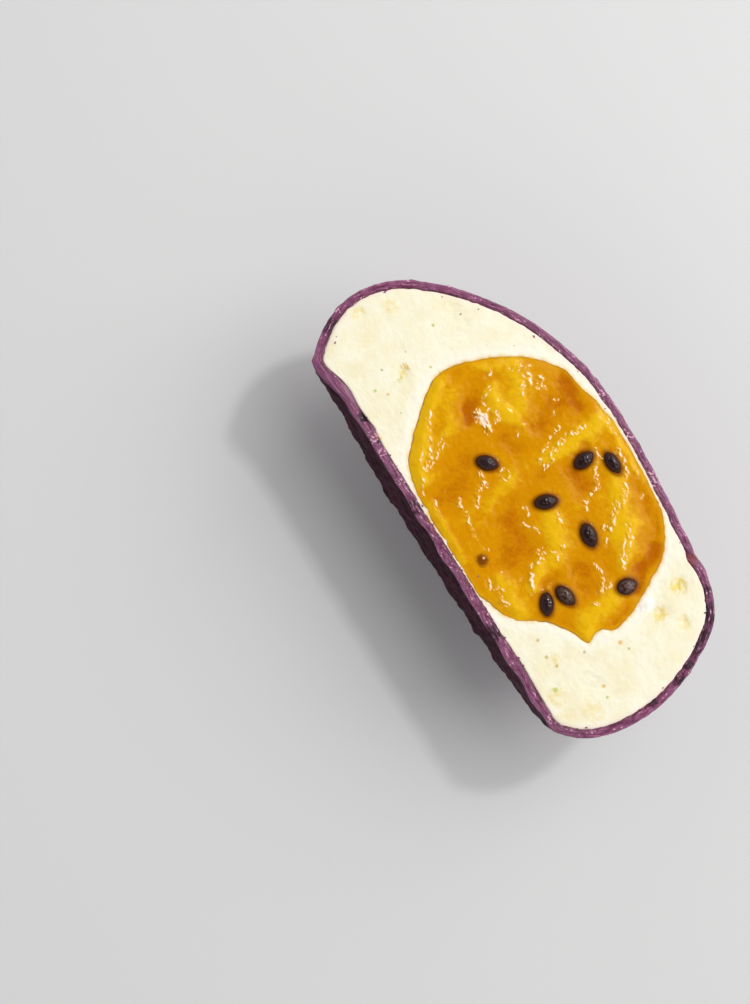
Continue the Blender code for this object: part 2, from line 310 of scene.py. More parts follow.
def walk_out(start, directions, inset=0.0, ridges=0.0):
    """How far each ray from the start runs before it leaves the solid."""
    near, far = np.zeros(len(directions)), np.full(len(directions), LONGEST_RAY)
    for _ in range(HALVINGS):
        middle = (near + far) / 2
        inside = depth_inside(start + directions * middle[:, None], inset, ridges) > 0
        near, far = np.where(inside, middle, near), np.where(inside, far, middle)
    return near


down = np.array([(0.0, 0.0, -1.0)])
print("down to the foot:", walk_out(np.array((8.0, 14.0, 0.0)), down)[0], "mm")


# %% [markdown]
# ## Building blocks for the finishes
# Blender's node trees are easier to read in code when a node is added and wired in one call, so
# `add` does both. Two steps come back in every finish: `laid_over` puts one colour over another where a
# mask says so, and `sway` makes an even number uneven with a noise. A number that is the same all over goes
# straight on the shader's own socket.


# %% Helpers for node trees
def add(tree, kind, settings=None, **sockets):
    """A new node, with its settings, and each named socket given a value or wired to another one."""
    node = tree.nodes.new(kind)
    for name, value in (settings or {}).items():
        setattr(node, name, value)
    for name, value in sockets.items():
        spoken = name.replace("_", " ")
        socket = node.inputs[int(name[1:])] if name[1:].isdigit() else node.inputs[spoken]
        if isinstance(value, bpy.types.NodeSocket):
            tree.links.new(value, socket)
        else:
            socket.default_value = value
    return node


def math(tree, operation, a, b=0.0):
    """One sum on two numbers or sockets."""
    return add(tree, "ShaderNodeMath", {"operation": operation}, s0=a, s1=b).outputs[0]


def blend(tree, share, a, b):
    """Two colours mixed by a share."""
    node = add(tree, "ShaderNodeMix", {"data_type": "RGBA"}, s0=share, s6=a, s7=b)
    return node.outputs[2]


def laid_over(tree, base, mask, strength, wanted):
    """A base colour with another one laid over it, as strongly as a mask says."""
    return blend(tree, math(tree, "MULTIPLY", mask, strength), base, wanted)


def sway(tree, value, unevenness, amount):
    """A number moved up and down by a noise, which is 0.5 on average."""
    moved = math(tree, "MULTIPLY", math(tree, "SUBTRACT", unevenness, 0.5), amount)
    return math(tree, "ADD", value, moved)


def ramp(tree, value, low, high, to=(0.0, 1.0)):
    """A number brought smoothly from one range to another."""
    return add(
        tree, "ShaderNodeMapRange", {"interpolation_type": "SMOOTHSTEP"},
        Value=value, From_Min=low, From_Max=high, To_Min=to[0], To_Max=to[1],
    ).outputs[0]


def mask_on(tree, name):
    """A mask that is kept on the corners of the mesh."""
    return add(tree, "ShaderNodeAttribute", {"attribute_name": name}).outputs["Fac"]


def bump(tree, height, strength, distance, under=None):
    """A surface direction bent by a height, on top of an earlier bump if one is given."""
    earlier = {} if under is None else {"Normal": under}
    node = add(tree, "ShaderNodeBump", Strength=strength, Distance=distance, Height=height, **earlier)
    return node.outputs[0]


def group(name, inputs, outputs):
    """An empty node group with named inputs and outputs, given as name to kind."""
    tree = bpy.data.node_groups.new(name, "ShaderNodeTree")
    for socket, kind in inputs.items():
        tree.interface.new_socket(socket, in_out="INPUT", socket_type="NodeSocket" + kind)
    for socket, kind in outputs.items():
        tree.interface.new_socket(socket, in_out="OUTPUT", socket_type="NodeSocket" + kind)
    return tree, tree.nodes.new("NodeGroupInput").outputs, tree.nodes.new("NodeGroupOutput")


def use(tree, shared, **sockets):
    """A shared effect placed in this tree."""
    return add(tree, "ShaderNodeGroup", {"node_tree": shared}, **sockets).outputs


def finish(name, **shader_values):
    """A new material, with the fixed numbers of its shader set."""
    made = bpy.data.materials.new(name)
    made.use_nodes = True
    tree = made.node_tree
    shader = tree.nodes["Principled BSDF"]
    for socket, value in shader_values.items():
        shader.inputs[socket.replace("_", " ")].default_value = value
    return made, tree, shader.inputs


def colour(*rgb):
    """A screen colour, 0 to 255, as the linear colour that a node needs."""
    part = [v / 255 for v in rgb]
    return (*[v / 12.92 if v <= 0.04045 else ((v + 0.055) / 1.055) ** 2.4 for v in part], 1.0)


print("the coat's purple in linear light:", [round(v, 3) for v in colour(126, 69, 102)])

# %% [markdown]
# ## Effects that several finishes share
# `face_millimetres` gives every material the same working axes as the modelling above, so a fleck can be
# put at a measured place. `grain` is the fine orange-peel unevenness of anything that was sprayed, poured
# or whipped. `fleck` is one soft-edged, slightly ragged spot.

# %% Shared node groups
millimetres, _, result = group("face_millimetres", {}, {"Place": "Vector"})
at = add(millimetres, "ShaderNodeTexCoord").outputs["Object"]
scaled = add(
    millimetres, "ShaderNodeVectorMath", {"operation": "MULTIPLY_ADD"},
    s0=at, s1=(1000, 1000, 1000), s2=tuple(-FACE_ORIGIN),
)
millimetres.links.new(scaled.outputs[0], result.inputs["Place"])

grain, given, result = group(
    "grain", {"Place": "Vector", "Size": "Float", "Roughen": "Float"}, {"Height": "Float"}
)
per_mm = math(grain, "DIVIDE", 1.0, given["Size"])
peel = add(
    grain, "ShaderNodeTexNoise",
    Vector=given["Place"], Scale=per_mm, Detail=3.0, Roughness=given["Roughen"],
)
grain.links.new(peel.outputs["Fac"], result.inputs["Height"])

fleck, given, result = group(
    "fleck",
    {"Place": "Vector", "Middle": "Vector", "Radius": "Float", "Ragged": "Float"},
    {"Mask": "Float"},
)
apart = add(
    fleck, "ShaderNodeVectorMath", {"operation": "DISTANCE"}, s0=given["Place"], s1=given["Middle"]
).outputs["Value"]
torn = add(fleck, "ShaderNodeTexNoise", Vector=given["Place"], Scale=1.6, Detail=2.0).outputs["Fac"]
share = math(fleck, "DIVIDE", sway(fleck, apart, torn, given["Ragged"]), given["Radius"])
fleck.links.new(ramp(fleck, share, 1.15, 0.45), result.inputs["Mask"])
print("shared effects:", [g.name for g in bpy.data.node_groups])


# %% Shared effects in one call
def grains(tree, place, size, roughen):
    """Noise with grains of this size, in millimetres."""
    return use(tree, grain, Place=place, Size=size, Roughen=roughen)["Height"]


def spot(tree, place, middle, radius, ragged):
    """The mask of one fleck, which lies on the cut face if no third number says otherwise."""
    middle = (*middle, 0.0) if len(middle) == 2 else middle
    return use(tree, fleck, Place=place, Middle=middle, Radius=radius, Ragged=ragged)["Mask"]


print("the fleck group takes:", [item.name for item in fleck.interface.items_tree])

# %% [markdown]
# ## Finish of the coat's outside
# The coat is a thin glaze coloured purple and sprayed until it is satin matte. Up close it shows a fine
# orange peel and pin-prick specks, a little lighter than the rest. It also ran down and pooled under the
# base, where it is thick, with broad drawn-out ridges and paler chips. The base faces away from the light,
# and its dark aubergine is partly the pooled glaze's own colour and partly painted shade. Two
# materials would meet there in a jagged row of faces, so one material goes softly from the one look to the
# other by a mask that is kept on the corners. The satin is a thin clear layer, which fades out with the
# same mask.

# %% Outside of the coat
coat_skin, tree, shader = finish(
    "coat_skin", Roughness=0.4, Specular_IOR_Level=0.012, Coat_Roughness=0.42, Coat_IOR=1.45
)
place = use(tree, millimetres)["Place"]
cloud = grains(tree, place, 9.0, 0.5)
peel = grains(tree, place, 0.55, 0.7)
specks = add(tree, "ShaderNodeTexVoronoi", Vector=place, Scale=1.1).outputs["Distance"]
speck = ramp(tree, specks, 0.20, 0.08)
sprayed = blend(tree, ramp(tree, cloud, 0.35, 0.65), colour(116, 62, 94), colour(126, 69, 102))
sprayed = laid_over(tree, sprayed, speck, 0.30, colour(170, 108, 142))
print("the sprayed side takes", len(tree.nodes), "nodes")

# %% Pooled base of the coat, darkened with painted shade
chips = grains(tree, place, 2.2, 0.6)
pooled_and_shaded = ramp(tree, sway(tree, mask_on(tree, "pooled_and_shaded"), chips, 0.9), 0.34, 0.60)
drawn = add(
    tree, "ShaderNodeMapping", Vector=place, Rotation=(0, radians(9), 0), Scale=(0.22, 1.0, 1.0)
)
drawn = grains(tree, drawn.outputs[0], 3.0, 0.45)
# Dark aubergine for the base: the pooled glaze's colour, darkened further with painted shade.
dark = blend(tree, ramp(tree, drawn, 0.36, 0.66), colour(40, 10, 22), colour(66, 22, 42))
dark = laid_over(tree, dark, ramp(tree, chips, 0.58, 0.72), 0.6, colour(92, 38, 64))
tree.links.new(blend(tree, pooled_and_shaded, sprayed, dark), shader["Base Color"])
tree.links.new(ramp(tree, pooled_and_shaded, 0.0, 1.0, to=(0.85, 0.05)), shader["Coat Weight"])
height = math(tree, "ADD", peel, math(tree, "MULTIPLY", speck, 0.35))
fine_bump = bump(tree, height, 0.6, 0.12 * MM)
ridges = math(tree, "MULTIPLY", drawn, pooled_and_shaded)
tree.links.new(bump(tree, ridges, 0.8, 0.6 * MM, fine_bump), shader["Normal"])
print("the whole skin takes", len(tree.nodes), "nodes")

# %% [markdown]
# ## Finish of the cut coat
# Where the knife went through, the set glaze shows its broken edge. The blade dragged it along, so it is
# streaked lengthwise: mauve, with paler and darker streaks, painted pinkish glints, and a dark ragged strip
# next to the cream. An ordinary noise has no direction, so this one reads an attribute instead, whose first
# two numbers go slowly round the rim and whose third goes quickly across it.

# %% Places on the cut coat
# Each mark has its middle and its radius in millimetres, and a pit its depth as well.
DRAGGED = [
    ((-55.4, 4.0), 2.6), ((45.6, 41.8), 3.6), ((41.6, 44.6), 1.8), ((49.4, 38.6), 2.4),
    ((51.4, 35.8), 2.0), ((53.2, 32.4), 1.6), ((55.2, 28.9), 1.8), ((56.0, 21.0), 1.6),
    ((-33.5, -0.5), 1.5), ((-10.0, -1.4), 2.0), ((23.6, -1.6), 2.6),
]
PITTED = [((-33.7, -0.5), 1.0, 1.0), ((-27.0, -0.6), 0.4, 0.3), ((-43.6, -3.9), 0.8, 0.6)]
BRUISED = [((33.4, 45.6), 1.6), ((-28.4, -0.3), 1.0), ((-5.8, -0.2), 0.9), ((-3.2, -0.3), 0.7)]
PAINTED_GLINT_SPOTS = [
    ((-57.2, 7.4), 0.9), ((-48.6, 31.6), 0.9), ((-28.4, -1.4), 1.8), ((-24.6, -1.2), 1.4),
    ((-16.0, -1.4), 2.0), ((-9.0, 47.8), 1.8), ((1.8, 47.9), 2.0), ((13.2, 47.7), 2.6),
    ((55.4, 31.4), 0.9), ((47.4, -1.0), 1.4),
]
SMOOTH = [((-44.5, -4.0), 4.2), ((-40.0, -1.5), 3.2), ((53.6, 33.2), 1.2), ((56.6, 25.6), 1.3)]
print(len(DRAGGED + PITTED + BRUISED + PAINTED_GLINT_SPOTS + SMOOTH), "places on the rim")

# %% Cut coat
cut_coat, tree, shader = finish("cut_coat", Roughness=0.3, Specular_IOR_Level=0.3)
place = use(tree, millimetres)["Place"]
way = add(tree, "ShaderNodeAttribute", {"attribute_name": "rim_way"}).outputs["Vector"]
across = mask_on(tree, "across")
streaks = grains(tree, way, 1.0, 0.62)
crumbly = grains(tree, place, 0.8, 0.65)
blotches = grains(tree, place, 3.0, 0.6)
base = blend(tree, ramp(tree, streaks, 0.36, 0.60), colour(90, 38, 66), colour(146, 82, 116))
base = laid_over(tree, base, ramp(tree, blotches, 0.46, 0.60), 0.6, colour(112, 54, 86))
inner = ramp(tree, sway(tree, across, crumbly, 1.2), 0.60, 0.95)
base = laid_over(tree, base, inner, 0.6, colour(78, 32, 48))
outer = ramp(tree, sway(tree, across, crumbly, -0.8), 0.34, 0.04)
base = laid_over(tree, base, outer, 0.5, colour(158, 102, 134))
print("the streaked rim takes", len(tree.nodes), "nodes")

# %% Marks on the cut coat
for middle, radius in SMOOTH:
    base = laid_over(tree, base, spot(tree, place, middle, radius, 1.6), 0.7, colour(130, 76, 106))
frayed = ramp(tree, streaks, 0.68, 0.48)
for middle, radius in DRAGGED:
    dark = math(tree, "MULTIPLY", spot(tree, place, middle, radius, 2.4), frayed)
    base = laid_over(tree, base, dark, 0.95, colour(44, 18, 32))
# Each pit is sunk in the relief and also painted near-black inside: painted shade.
for middle, radius, depth in PITTED:
    pit_shade = spot(tree, place, (*middle, -depth / 2), 1.3 * radius, 0.7)
    base = laid_over(tree, base, pit_shade, 0.95, colour(34, 12, 22))
for middle, radius in BRUISED:
    base = laid_over(tree, base, spot(tree, place, middle, radius, 1.4), 0.6, colour(136, 66, 54))
print("with its marks the rim takes", len(tree.nodes), "nodes")

# %% Painted glints on the cut coat
# The glints are painted highlights: pale pink laid into the base colour on streaks and at the listed spots.
fine = grains(tree, place, 0.62, 0.45)
glint = math(tree, "MULTIPLY", ramp(tree, streaks, 0.56, 0.64), ramp(tree, fine, 0.54, 0.61))
sparkle = ramp(tree, fine, 0.53, 0.60)
for middle, radius in PAINTED_GLINT_SPOTS:
    bright = math(tree, "MULTIPLY", spot(tree, place, middle, radius, 1.6), sparkle)
    glint = math(tree, "MAXIMUM", glint, bright)
tree.links.new(laid_over(tree, base, glint, 0.85, colour(228, 180, 202)), shader["Base Color"])
streak_bump = bump(tree, streaks, 0.8, 0.35 * MM)
tree.links.new(bump(tree, crumbly, 0.6, 0.15 * MM, streak_bump), shader["Normal"])
print("coat finishes:", coat_skin.name, cut_coat.name)

# %% [markdown]
# ## The coat
# A bowl about two millimetres thick: the outside follows the dome and base, the inside is the same solid
# set in, and the rim between them is the cut. It could be a thickened sheet, but then the rim would be as
# even as a pipe's, and the real one is thicker under the base and thin, nicked and frayed elsewhere. The
# thick coat of the base also sagged before it set, so it hangs out a little along its middle.

# %% Rows of the coat
COAT_AROUND, COAT_ROWS = 560, 132
OUTER_ROWS, RIM_ROWS = 66, 10
COAT_FROM = np.array((8.0, 19.0, 0.0))
# How much thicker the cut rim is: a place on its inner edge, the radius, and how much, in millimetres.
RIM_THICKNESS = [
    ((-55.0, 9.0), 9.0, -0.2), ((-40.0, 36.0), 14.0, -0.25), ((0.0, 47.0), 14.0, -0.25),
    ((34.0, 45.0), 10.0, -0.15), ((54.0, 20.0), 12.0, 0.1), ((-42.4, -0.8), 4.0, 0.95),
    ((-48.2, -1.6), 1.6, -0.25), ((-31.5, 0.0), 2.2, 0.35), ((20.0, 0.0), 20.0, 0.15),
    ((33.4, 44.8), 1.7, 0.75), ((-53.0, 6.2), 0.8, 0.8), ((48.0, 37.2), 2.2, 0.4),
    ((-30.3, 0.3), 0.4, 0.7), ((-8.0, 0.0), 3.0, -0.2), ((34.0, 0.0), 4.0, 0.3),
]
# The rows crowd towards the rim by a power. The uneven thickness and the nicks fade out below the rim, over
# these angles.
ROW_EASE, RIM_DEPTH, NICK_DEPTH = 1.3, radians(9), radians(1.6)
# Where the thick coat of the base sagged: along and below the face, spread both ways, and how far.
SAGS = [
    ((-17.0, -21.0), (19.0, 15.0), 0.95), ((8.0, -18.0), (14.0, 14.0), 0.35),
    ((-33.0, -14.0), (6.0, 12.0), 0.35),
]
# Nicks and burrs of the outer edge: place, radius and how far they stand out, in millimetres.
NICKS = [
    ((-14.1, 48.9), 0.9, -0.45), ((-54.9, 26.0), 0.9, 0.9), ((-48.5, 32.2), 0.8, 0.25),
    ((33.2, 47.2), 1.2, -0.30), ((53.6, 35.7), 0.9, -0.35), ((55.6, 32.0), 0.8, 0.25),
    ((-57.8, 7.6), 0.9, 0.25), ((36.8, 47.0), 1.8, 0.35), ((-49.8, -3.4), 1.2, 0.55),
]
print(len(RIM_THICKNESS), "changes of thickness,", len(SAGS), "sags and", len(NICKS), "nicks and burrs")

# %% Shape of the coat
bm, turn, row = ball(COAT_AROUND, COAT_ROWS)
inner_rows = COAT_ROWS - OUTER_ROWS - RIM_ROWS
outside_share, inside_share = 1 - row / OUTER_ROWS, (row - OUTER_ROWS - RIM_ROWS) / inner_rows
below = np.clip(np.where(row <= OUTER_ROWS, outside_share, inside_share), 0, 1) ** ROW_EASE * pi / 2
direction = arrows(turn) * np.cos(below)[:, None]
direction[:, 2] = -np.sin(below)
outer = walk_out(COAT_FROM, direction, ridges=1.0)
inner = walk_out(COAT_FROM, direction, inset=COAT)

flat_place = COAT_FROM + direction * outer[:, None]
jitter = 0.10 * soft_noise(flat_place, 1.4, 3.0) + 0.06 * soft_noise(flat_place, 0.7, 9.0, 1)
for middle, radius, stand_out in NICKS:
    jitter += stand_out * bump_at(flat_place, middle, radius)
outer = outer + np.exp(-below / NICK_DEPTH) * jitter
print("the outside reaches", round(float(outer.min()), 1), "to", round(float(outer.max()), 1), "mm")

# %% Inner edge of the rim
inner_place = COAT_FROM + direction * inner[:, None]
extra = sum(more * bump_at(inner_place, at, radius) for at, radius, more in RIM_THICKNESS)
extra += 0.14 * soft_noise(inner_place, 3.0, 5.0) + 0.16 * soft_noise(inner_place, 0.8, 7.0)
inward = mix(-direction, np.array((0.0, 1.0, 0.0)), rise(inner_place[:, 1], 2.5, -0.5)[:, None])
inner_place = inner_place + inward * (extra * np.exp(-below / RIM_DEPTH))[:, None]
inner_edge = inner_place[row == OUTER_ROWS + RIM_ROWS]
print("inner edge of", len(inner_edge), "places, thicker by up to", round(float(extra.max()), 2), "mm")

# %% Relief of the rim
STREAK_LENGTH, STREAK_WIDTH, MEAN_REACH = 2.2, 0.42, 45.0
RIM_ROUNDING, RIM_SQUARENESS = 0.24, 5
across = np.clip((row - OUTER_ROWS) / RIM_ROWS, 0, 1)
rim_way = MEAN_REACH / STREAK_LENGTH * arrows(turn)
rim_way[:, 2] = across * COAT / STREAK_WIDTH
outer_place = COAT_FROM + direction * outer[:, None]
places = mix(outer_place, inner_place, across[:, None])
on_rim = (row >= OUTER_ROWS) & (row <= OUTER_ROWS + RIM_ROWS)
rim_relief = 0.14 * soft_noise(places, 1.6, 11.0) + 0.12 * soft_noise(rim_way, 1.0, 13.0)
rim_relief -= RIM_ROUNDING * np.abs(2 * across - 1) ** RIM_SQUARENESS
rim_relief -= sum(depth * bump_at(places, at, radius) for at, radius, depth in PITTED)
places[:, 2] += np.where(on_rim, rim_relief, 0)
print("the rim's relief goes down to", round(float(rim_relief[on_rim].min()), 2), "mm")

# %% Sag of the base
x, y, z = before_lean(places)
hanging = np.where(row <= OUTER_ROWS, 1 - rise(y + COAT, 0.4, 3.0), 0) * rise(-z, 0.0, 2.5)
sag = 0.22 * soft_noise(places, 2.6, 15.0) + 0.12 * soft_noise(places, 1.0, 17.0)
for (along, down), (spread, drop), out in SAGS:
    sag += out * bell(x - along, spread) * bell(z - down, drop)
places[:, 1] -= hanging * sag
print("the base sags by up to", round(float((hanging * sag).max()), 2), "mm")

# %% Coat as a piece
place_corners(bm, places)
for face in bm.faces:
    corners = [corner.index for corner in face.verts]
    if (row[corners] >= OUTER_ROWS).all() and (row[corners] <= OUTER_ROWS + RIM_ROWS).all():
        face.material_index = 1
# Mask of the pooled base, whose colour the finish darkens with painted shade.
pooled_and_shaded = (1 - rise(y + COAT, 0.9, 2.9)) * rise(-z, 0.1, 1.5)
masks = {"rim_way": rim_way, "across": across, "pooled_and_shaded": pooled_and_shaded}
coat = to_piece(bm, "coat", [coat_skin, cut_coat], masks)
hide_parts("purple_coat")

# %% [markdown]
# ## Crumbs of the coat
# The knife also left tiny crumbs of coat lying on the cream, all round, just inside the rim. They are small
# balls, dented at random and joined as one piece. The dice are seeded, so they fall the same each time.

# %% Coat crumbs
CRUMB_COUNT, CRUMB_SIZES, CRUMB_LENGTHS = 32, (0.08, 0.20), (1.0, 2.2)
CRUMB_CROWDING, CRUMB_GAP, CRUMB_LIFT, CRUMB_DENTS = 2.5, 0.05, 0.05, 0.35
dice = Random(11)
bm = bmesh.new()
for _ in range(CRUMB_COUNT):
    toward = dice.uniform(-pi, pi)
    flat = arrows(np.array([toward]))
    reach = walk_out(COAT_FROM, flat, inset=COAT)[0] - dice.expovariate(CRUMB_CROWDING) - CRUMB_GAP
    spot_at = FACE_ORIGIN + COAT_FROM + flat[0] * reach + np.array((0, 0, CRUMB_LIFT))
    size = dice.uniform(*CRUMB_SIZES)
    turned = Matrix.Rotation(dice.uniform(0, pi), 4, "Z")
    drawn_out = Matrix.Diagonal((dice.uniform(*CRUMB_LENGTHS), 1.0, 0.8, 1.0))
    matrix = Matrix.Scale(MM, 4) @ Matrix.Translation(spot_at.tolist())
    matrix = matrix @ turned @ drawn_out @ Matrix.Scale(size, 4)
    made = bmesh.ops.create_icosphere(bm, subdivisions=2, radius=1.0)
    for vertex in made["verts"]:
        vertex.co *= 1 + CRUMB_DENTS * noise.noise(vertex.co * 1.7 + Vector(spot_at.tolist()))
    bmesh.ops.transform(bm, matrix=matrix, verts=made["verts"])
to_piece(bm, "coat_crumbs", [cut_coat])

# %% [markdown]
# ## The outline of the jelly
# The jelly was piped into the middle of the cream, so its edge wanders: nearly against the coat at the
# crown and the base, with a small tip that was dragged out at the blunt end.

# %% Jelly outline
CENTRE_MIDDLE = (2.0, 23.0)
CENTRE_AT = np.array((*CENTRE_MIDDLE, 0.0))
CENTRE_OUTLINE = [
    (37.8, 23.0), (37.0, 27.0), (35.2, 30.6), (33.4, 34.0), (32.4, 35.6), (31.4, 37.4), (29.6, 40.2),
    (25.6, 43.4), (21.5, 45.4), (14.0, 46.6), (7.0, 47.2), (0.0, 47.4), (-5.0, 47.0), (-8.0, 46.4),
    (-13.0, 45.0), (-18.0, 44.2), (-22.0, 41.6), (-25.6, 38.2), (-28.4, 33.4), (-30.8, 28.6),
    (-32.3, 24.6), (-32.9, 21.0), (-32.5, 18.0), (-31.0, 15.2), (-28.8, 12.3), (-26.4, 9.6),
    (-24.2, 7.3), (-22.2, 5.2), (-20.2, 3.2), (-16.0, 1.3), (-8.0, 0.6), (0.0, 0.4), (8.0, 0.3),
    (14.0, 0.1), (17.6, 1.4), (21.0, 2.6), (24.4, 4.8), (26.4, 8.2), (28.8, 11.0), (31.0, 12.6),
    (33.2, 14.0), (36.6, 15.2), (37.2, 16.0), (35.9, 18.4), (36.0, 20.2), (37.5, 21.8),
]
EDGE_GAP, EDGE_ANGLES, WANDER_RADIUS = 0.25, 1081, 9.0


def jelly_reach(turn):
    """How far the jelly's edge is from its middle at each compass angle, kept inside the coat."""
    wander = WANDER_RADIUS * arrows(turn)
    reach = polar_reach(CENTRE_OUTLINE, CENTRE_MIDDLE, softness=radians(0.8))(turn)
    reach = reach + 0.22 * soft_noise(wander, 1.6, 21.0) + 0.17 * soft_noise(wander, 0.42, 23.0)
    return np.minimum(reach, walk_out(CENTRE_AT, arrows(turn), inset=COAT) - EDGE_GAP)


angles = np.linspace(-pi, pi, EDGE_ANGLES)
reach_table = jelly_reach(angles)
print("jelly reaches", round(reach_table.min(), 1), "to", round(reach_table.max(), 1), "mm")

# %% [markdown]
# ## Finish of the cream
# Set whipped cream is matte and soft-looking, ivory with paler patches by the jelly and pale yellow ones
# near the ends. Fruit and colour got dragged over it by the knife: small flecks of green, orange and olive,
# and a few yellow smears. A little light goes into it, which a low subsurface weight gives.

# %% Cream flecks
# Middle, radius in millimetres and colour. A smear also has a strength.
GREEN, ORANGE = colour(186, 196, 106), colour(226, 178, 88)
YELLOW, OLIVE = colour(230, 204, 102), colour(194, 178, 100)
FLECKS = [
    ((-42.9, 24.0), 0.55, GREEN), ((-41.7, 30.7), 0.35, colour(112, 84, 92)),
    ((-37.2, 4.9), 0.55, GREEN), ((-40.4, 8.7), 0.45, colour(170, 172, 140)),
    ((-35.0, 7.0), 0.50, ORANGE), ((-35.1, 18.5), 0.45, GREEN), ((40.9, 21.9), 0.75, ORANGE),
    ((43.1, 22.8), 0.45, OLIVE), ((47.3, 13.4), 0.60, ORANGE), ((49.9, 12.8), 0.50, GREEN),
    ((42.2, 3.6), 0.80, GREEN), ((34.8, 5.9), 0.60, OLIVE), ((37.7, 6.8), 0.50, OLIVE),
    ((38.4, 13.8), 0.50, colour(190, 182, 150)), ((30.5, 6.2), 0.55, OLIVE),
    ((-29.8, 7.2), 0.35, GREEN), ((-41.1, 15.5), 0.30, colour(196, 194, 186)),
    ((-29.2, 37.2), 0.30, GREEN),
]
SMEARS = [
    ((36.9, 40.0), 2.4, YELLOW, 0.95), ((40.0, 33.0), 2.2, YELLOW, 0.80),
    ((44.7, 36.7), 2.0, YELLOW, 0.60), ((36.8, 31.9), 2.2, colour(250, 248, 246), 0.9),
    ((36.6, 29.3), 1.1, colour(216, 210, 206), 0.5), ((-37.3, 12.3), 1.3, colour(234, 214, 130), 0.95),
    ((-38.0, 13.7), 1.0, colour(220, 182, 88), 0.95), ((-36.5, 10.9), 0.8, colour(208, 202, 116), 0.95),
    ((-54.2, 11.2), 1.8, YELLOW, 0.60), ((-51.8, 18.1), 2.2, YELLOW, 0.45),
    ((-28.1, -0.1), 1.0, ORANGE, 0.8), ((36.4, 7.2), 1.6, YELLOW, 0.6), ((-5.5, 0.6), 2.6, YELLOW, 0.7),
    ((43.6, 3.0), 2.6, YELLOW, 0.50), ((48.6, 3.0), 2.2, YELLOW, 0.35),
    ((50.6, 8.4), 3.4, YELLOW, 0.40),
]
print(len(FLECKS), "flecks and", len(SMEARS), "smears")

# %% Cream finish
set_cream, tree, shader = finish(
    "set_cream", Roughness=0.55, IOR=1.4, Subsurface_Weight=0.12, Subsurface_Scale=1.5 * MM
)
shader["Subsurface Radius"].default_value = (1.0, 0.8, 0.5)
place = use(tree, millimetres)["Place"]
cloud = grains(tree, place, 7.0, 0.55)
curds = grains(tree, place, 1.5, 0.65)
base = blend(tree, ramp(tree, cloud, 0.35, 0.68), colour(241, 236, 211), colour(237, 228, 193))
base = laid_over(tree, base, ramp(tree, curds, 0.55, 0.72), 0.5, colour(236, 224, 180))
base = blend(tree, mask_on(tree, "near_jelly"), base, colour(243, 238, 219))
stain = math(tree, "MULTIPLY", mask_on(tree, "stain"), ramp(tree, curds, 0.30, 0.62))
base = laid_over(tree, base, stain, 0.75, colour(236, 196, 92))
base = laid_over(tree, base, mask_on(tree, "near_coat"), 0.35, colour(246, 220, 214))
patchy = ramp(tree, curds, 0.32, 0.60)
for middle, radius, tint, strength in SMEARS:
    smear = math(tree, "MULTIPLY", spot(tree, place, middle, radius, 3.2), patchy)
    base = laid_over(tree, base, smear, strength, tint)
for middle, radius, tint in FLECKS:
    base = laid_over(tree, base, spot(tree, place, middle, 0.85 * radius, 0.4), 0.85, tint)
tree.links.new(base, shader["Base Color"])
pores = add(tree, "ShaderNodeTexVoronoi", Vector=place, Scale=0.45).outputs["Distance"]
pore = ramp(tree, pores, 0.14, 0.04)
height = math(tree, "SUBTRACT", curds, math(tree, "MULTIPLY", pore, 0.25))
tree.links.new(bump(tree, height, 0.25, 0.4 * MM), shader["Normal"])
print("the cream's finish takes", len(tree.nodes), "nodes")

# %% [markdown]
# ## The cream
# Another ball pushed in on itself. Its outside lies against the coat, its inside is the bowl for the jelly,
# and the rows between them are the cut cream, with shallow pits where the knife tore it.

# %% Sizes of the cream
TUCKED_IN, UNDER_JELLY = 0.15, 0.15
CREAM_AROUND, CREAM_ROWS = 480, 112
WALL_ROWS, FACE_ROWS, WALL_EASE = 28, 56, 1.2
EDGE_DROP, FACE_SQUARENESS, JELLY_DEPTH, BOWL_GAP = 0.25, 24, 23.0, 0.3
# Where the knife tore the cream: place, radius and depth, in millimetres.
TORN = [
    ((36.9, 40.0), 2.0, 0.35), ((40.0, 33.0), 1.8, 0.3), ((44.7, 36.7), 1.6, 0.25),
    ((36.6, 29.6), 1.6, 0.3), ((-37.4, 12.2), 1.6, 0.2), ((-54.0, 11.2), 1.4, 0.25),
    ((-44.0, 30.0), 2.5, 0.15), ((45.0, 12.0), 2.5, 0.15),
]
bm, turn, row = ball(CREAM_AROUND, CREAM_ROWS)
flat = arrows(turn)
edge_reach = np.interp(turn, angles, reach_table)
print("the cream has", len(bm.verts), "corners and", len(TORN), "torn places")

# %% Wall of the cream
wall_down = np.clip(1 - row / WALL_ROWS, 0, 1) ** WALL_EASE * pi / 2
wall_way = flat * np.cos(wall_down)[:, None]
wall_way[:, 2] = -np.sin(wall_down)
rim_off = (inner_edge - CENTRE_AT)[:, :2]
rim_turn, rim_reach = np.arctan2(rim_off[:, 1], rim_off[:, 0]), np.hypot(*rim_off.T)
order = np.argsort(rim_turn)
wall_reach = np.interp(turn, rim_turn[order], rim_reach[order], period=2 * pi) + TUCKED_IN
even_reach = walk_out(CENTRE_AT, flat, inset=COAT)
uneven = (wall_reach - even_reach) * np.exp(-wall_down / RIM_DEPTH)
wall = CENTRE_AT + wall_way * (walk_out(CENTRE_AT, wall_way, inset=COAT) + uneven)[:, None]
print("the cream reaches", round(float(wall_reach.max()), 1), "mm from the jelly's middle")

# %% Cut face and bowl of the cream
across = np.clip((row - WALL_ROWS) / FACE_ROWS, 0, 1)
face = CENTRE_AT + flat * mix(wall_reach, edge_reach - UNDER_JELLY, across)[:, None]
roughness = 0.08 * soft_noise(face, 5.0, 31.0) + 0.05 * soft_noise(face, 1.3, 33.0)
for torn_at, radius, depth in TORN:
    roughness -= depth * bump_at(face, torn_at, radius) * (1 + soft_noise(face, 1.0, 35.0))
face[:, 2] += roughness - EDGE_DROP * np.abs(2 * across - 1) ** FACE_SQUARENESS

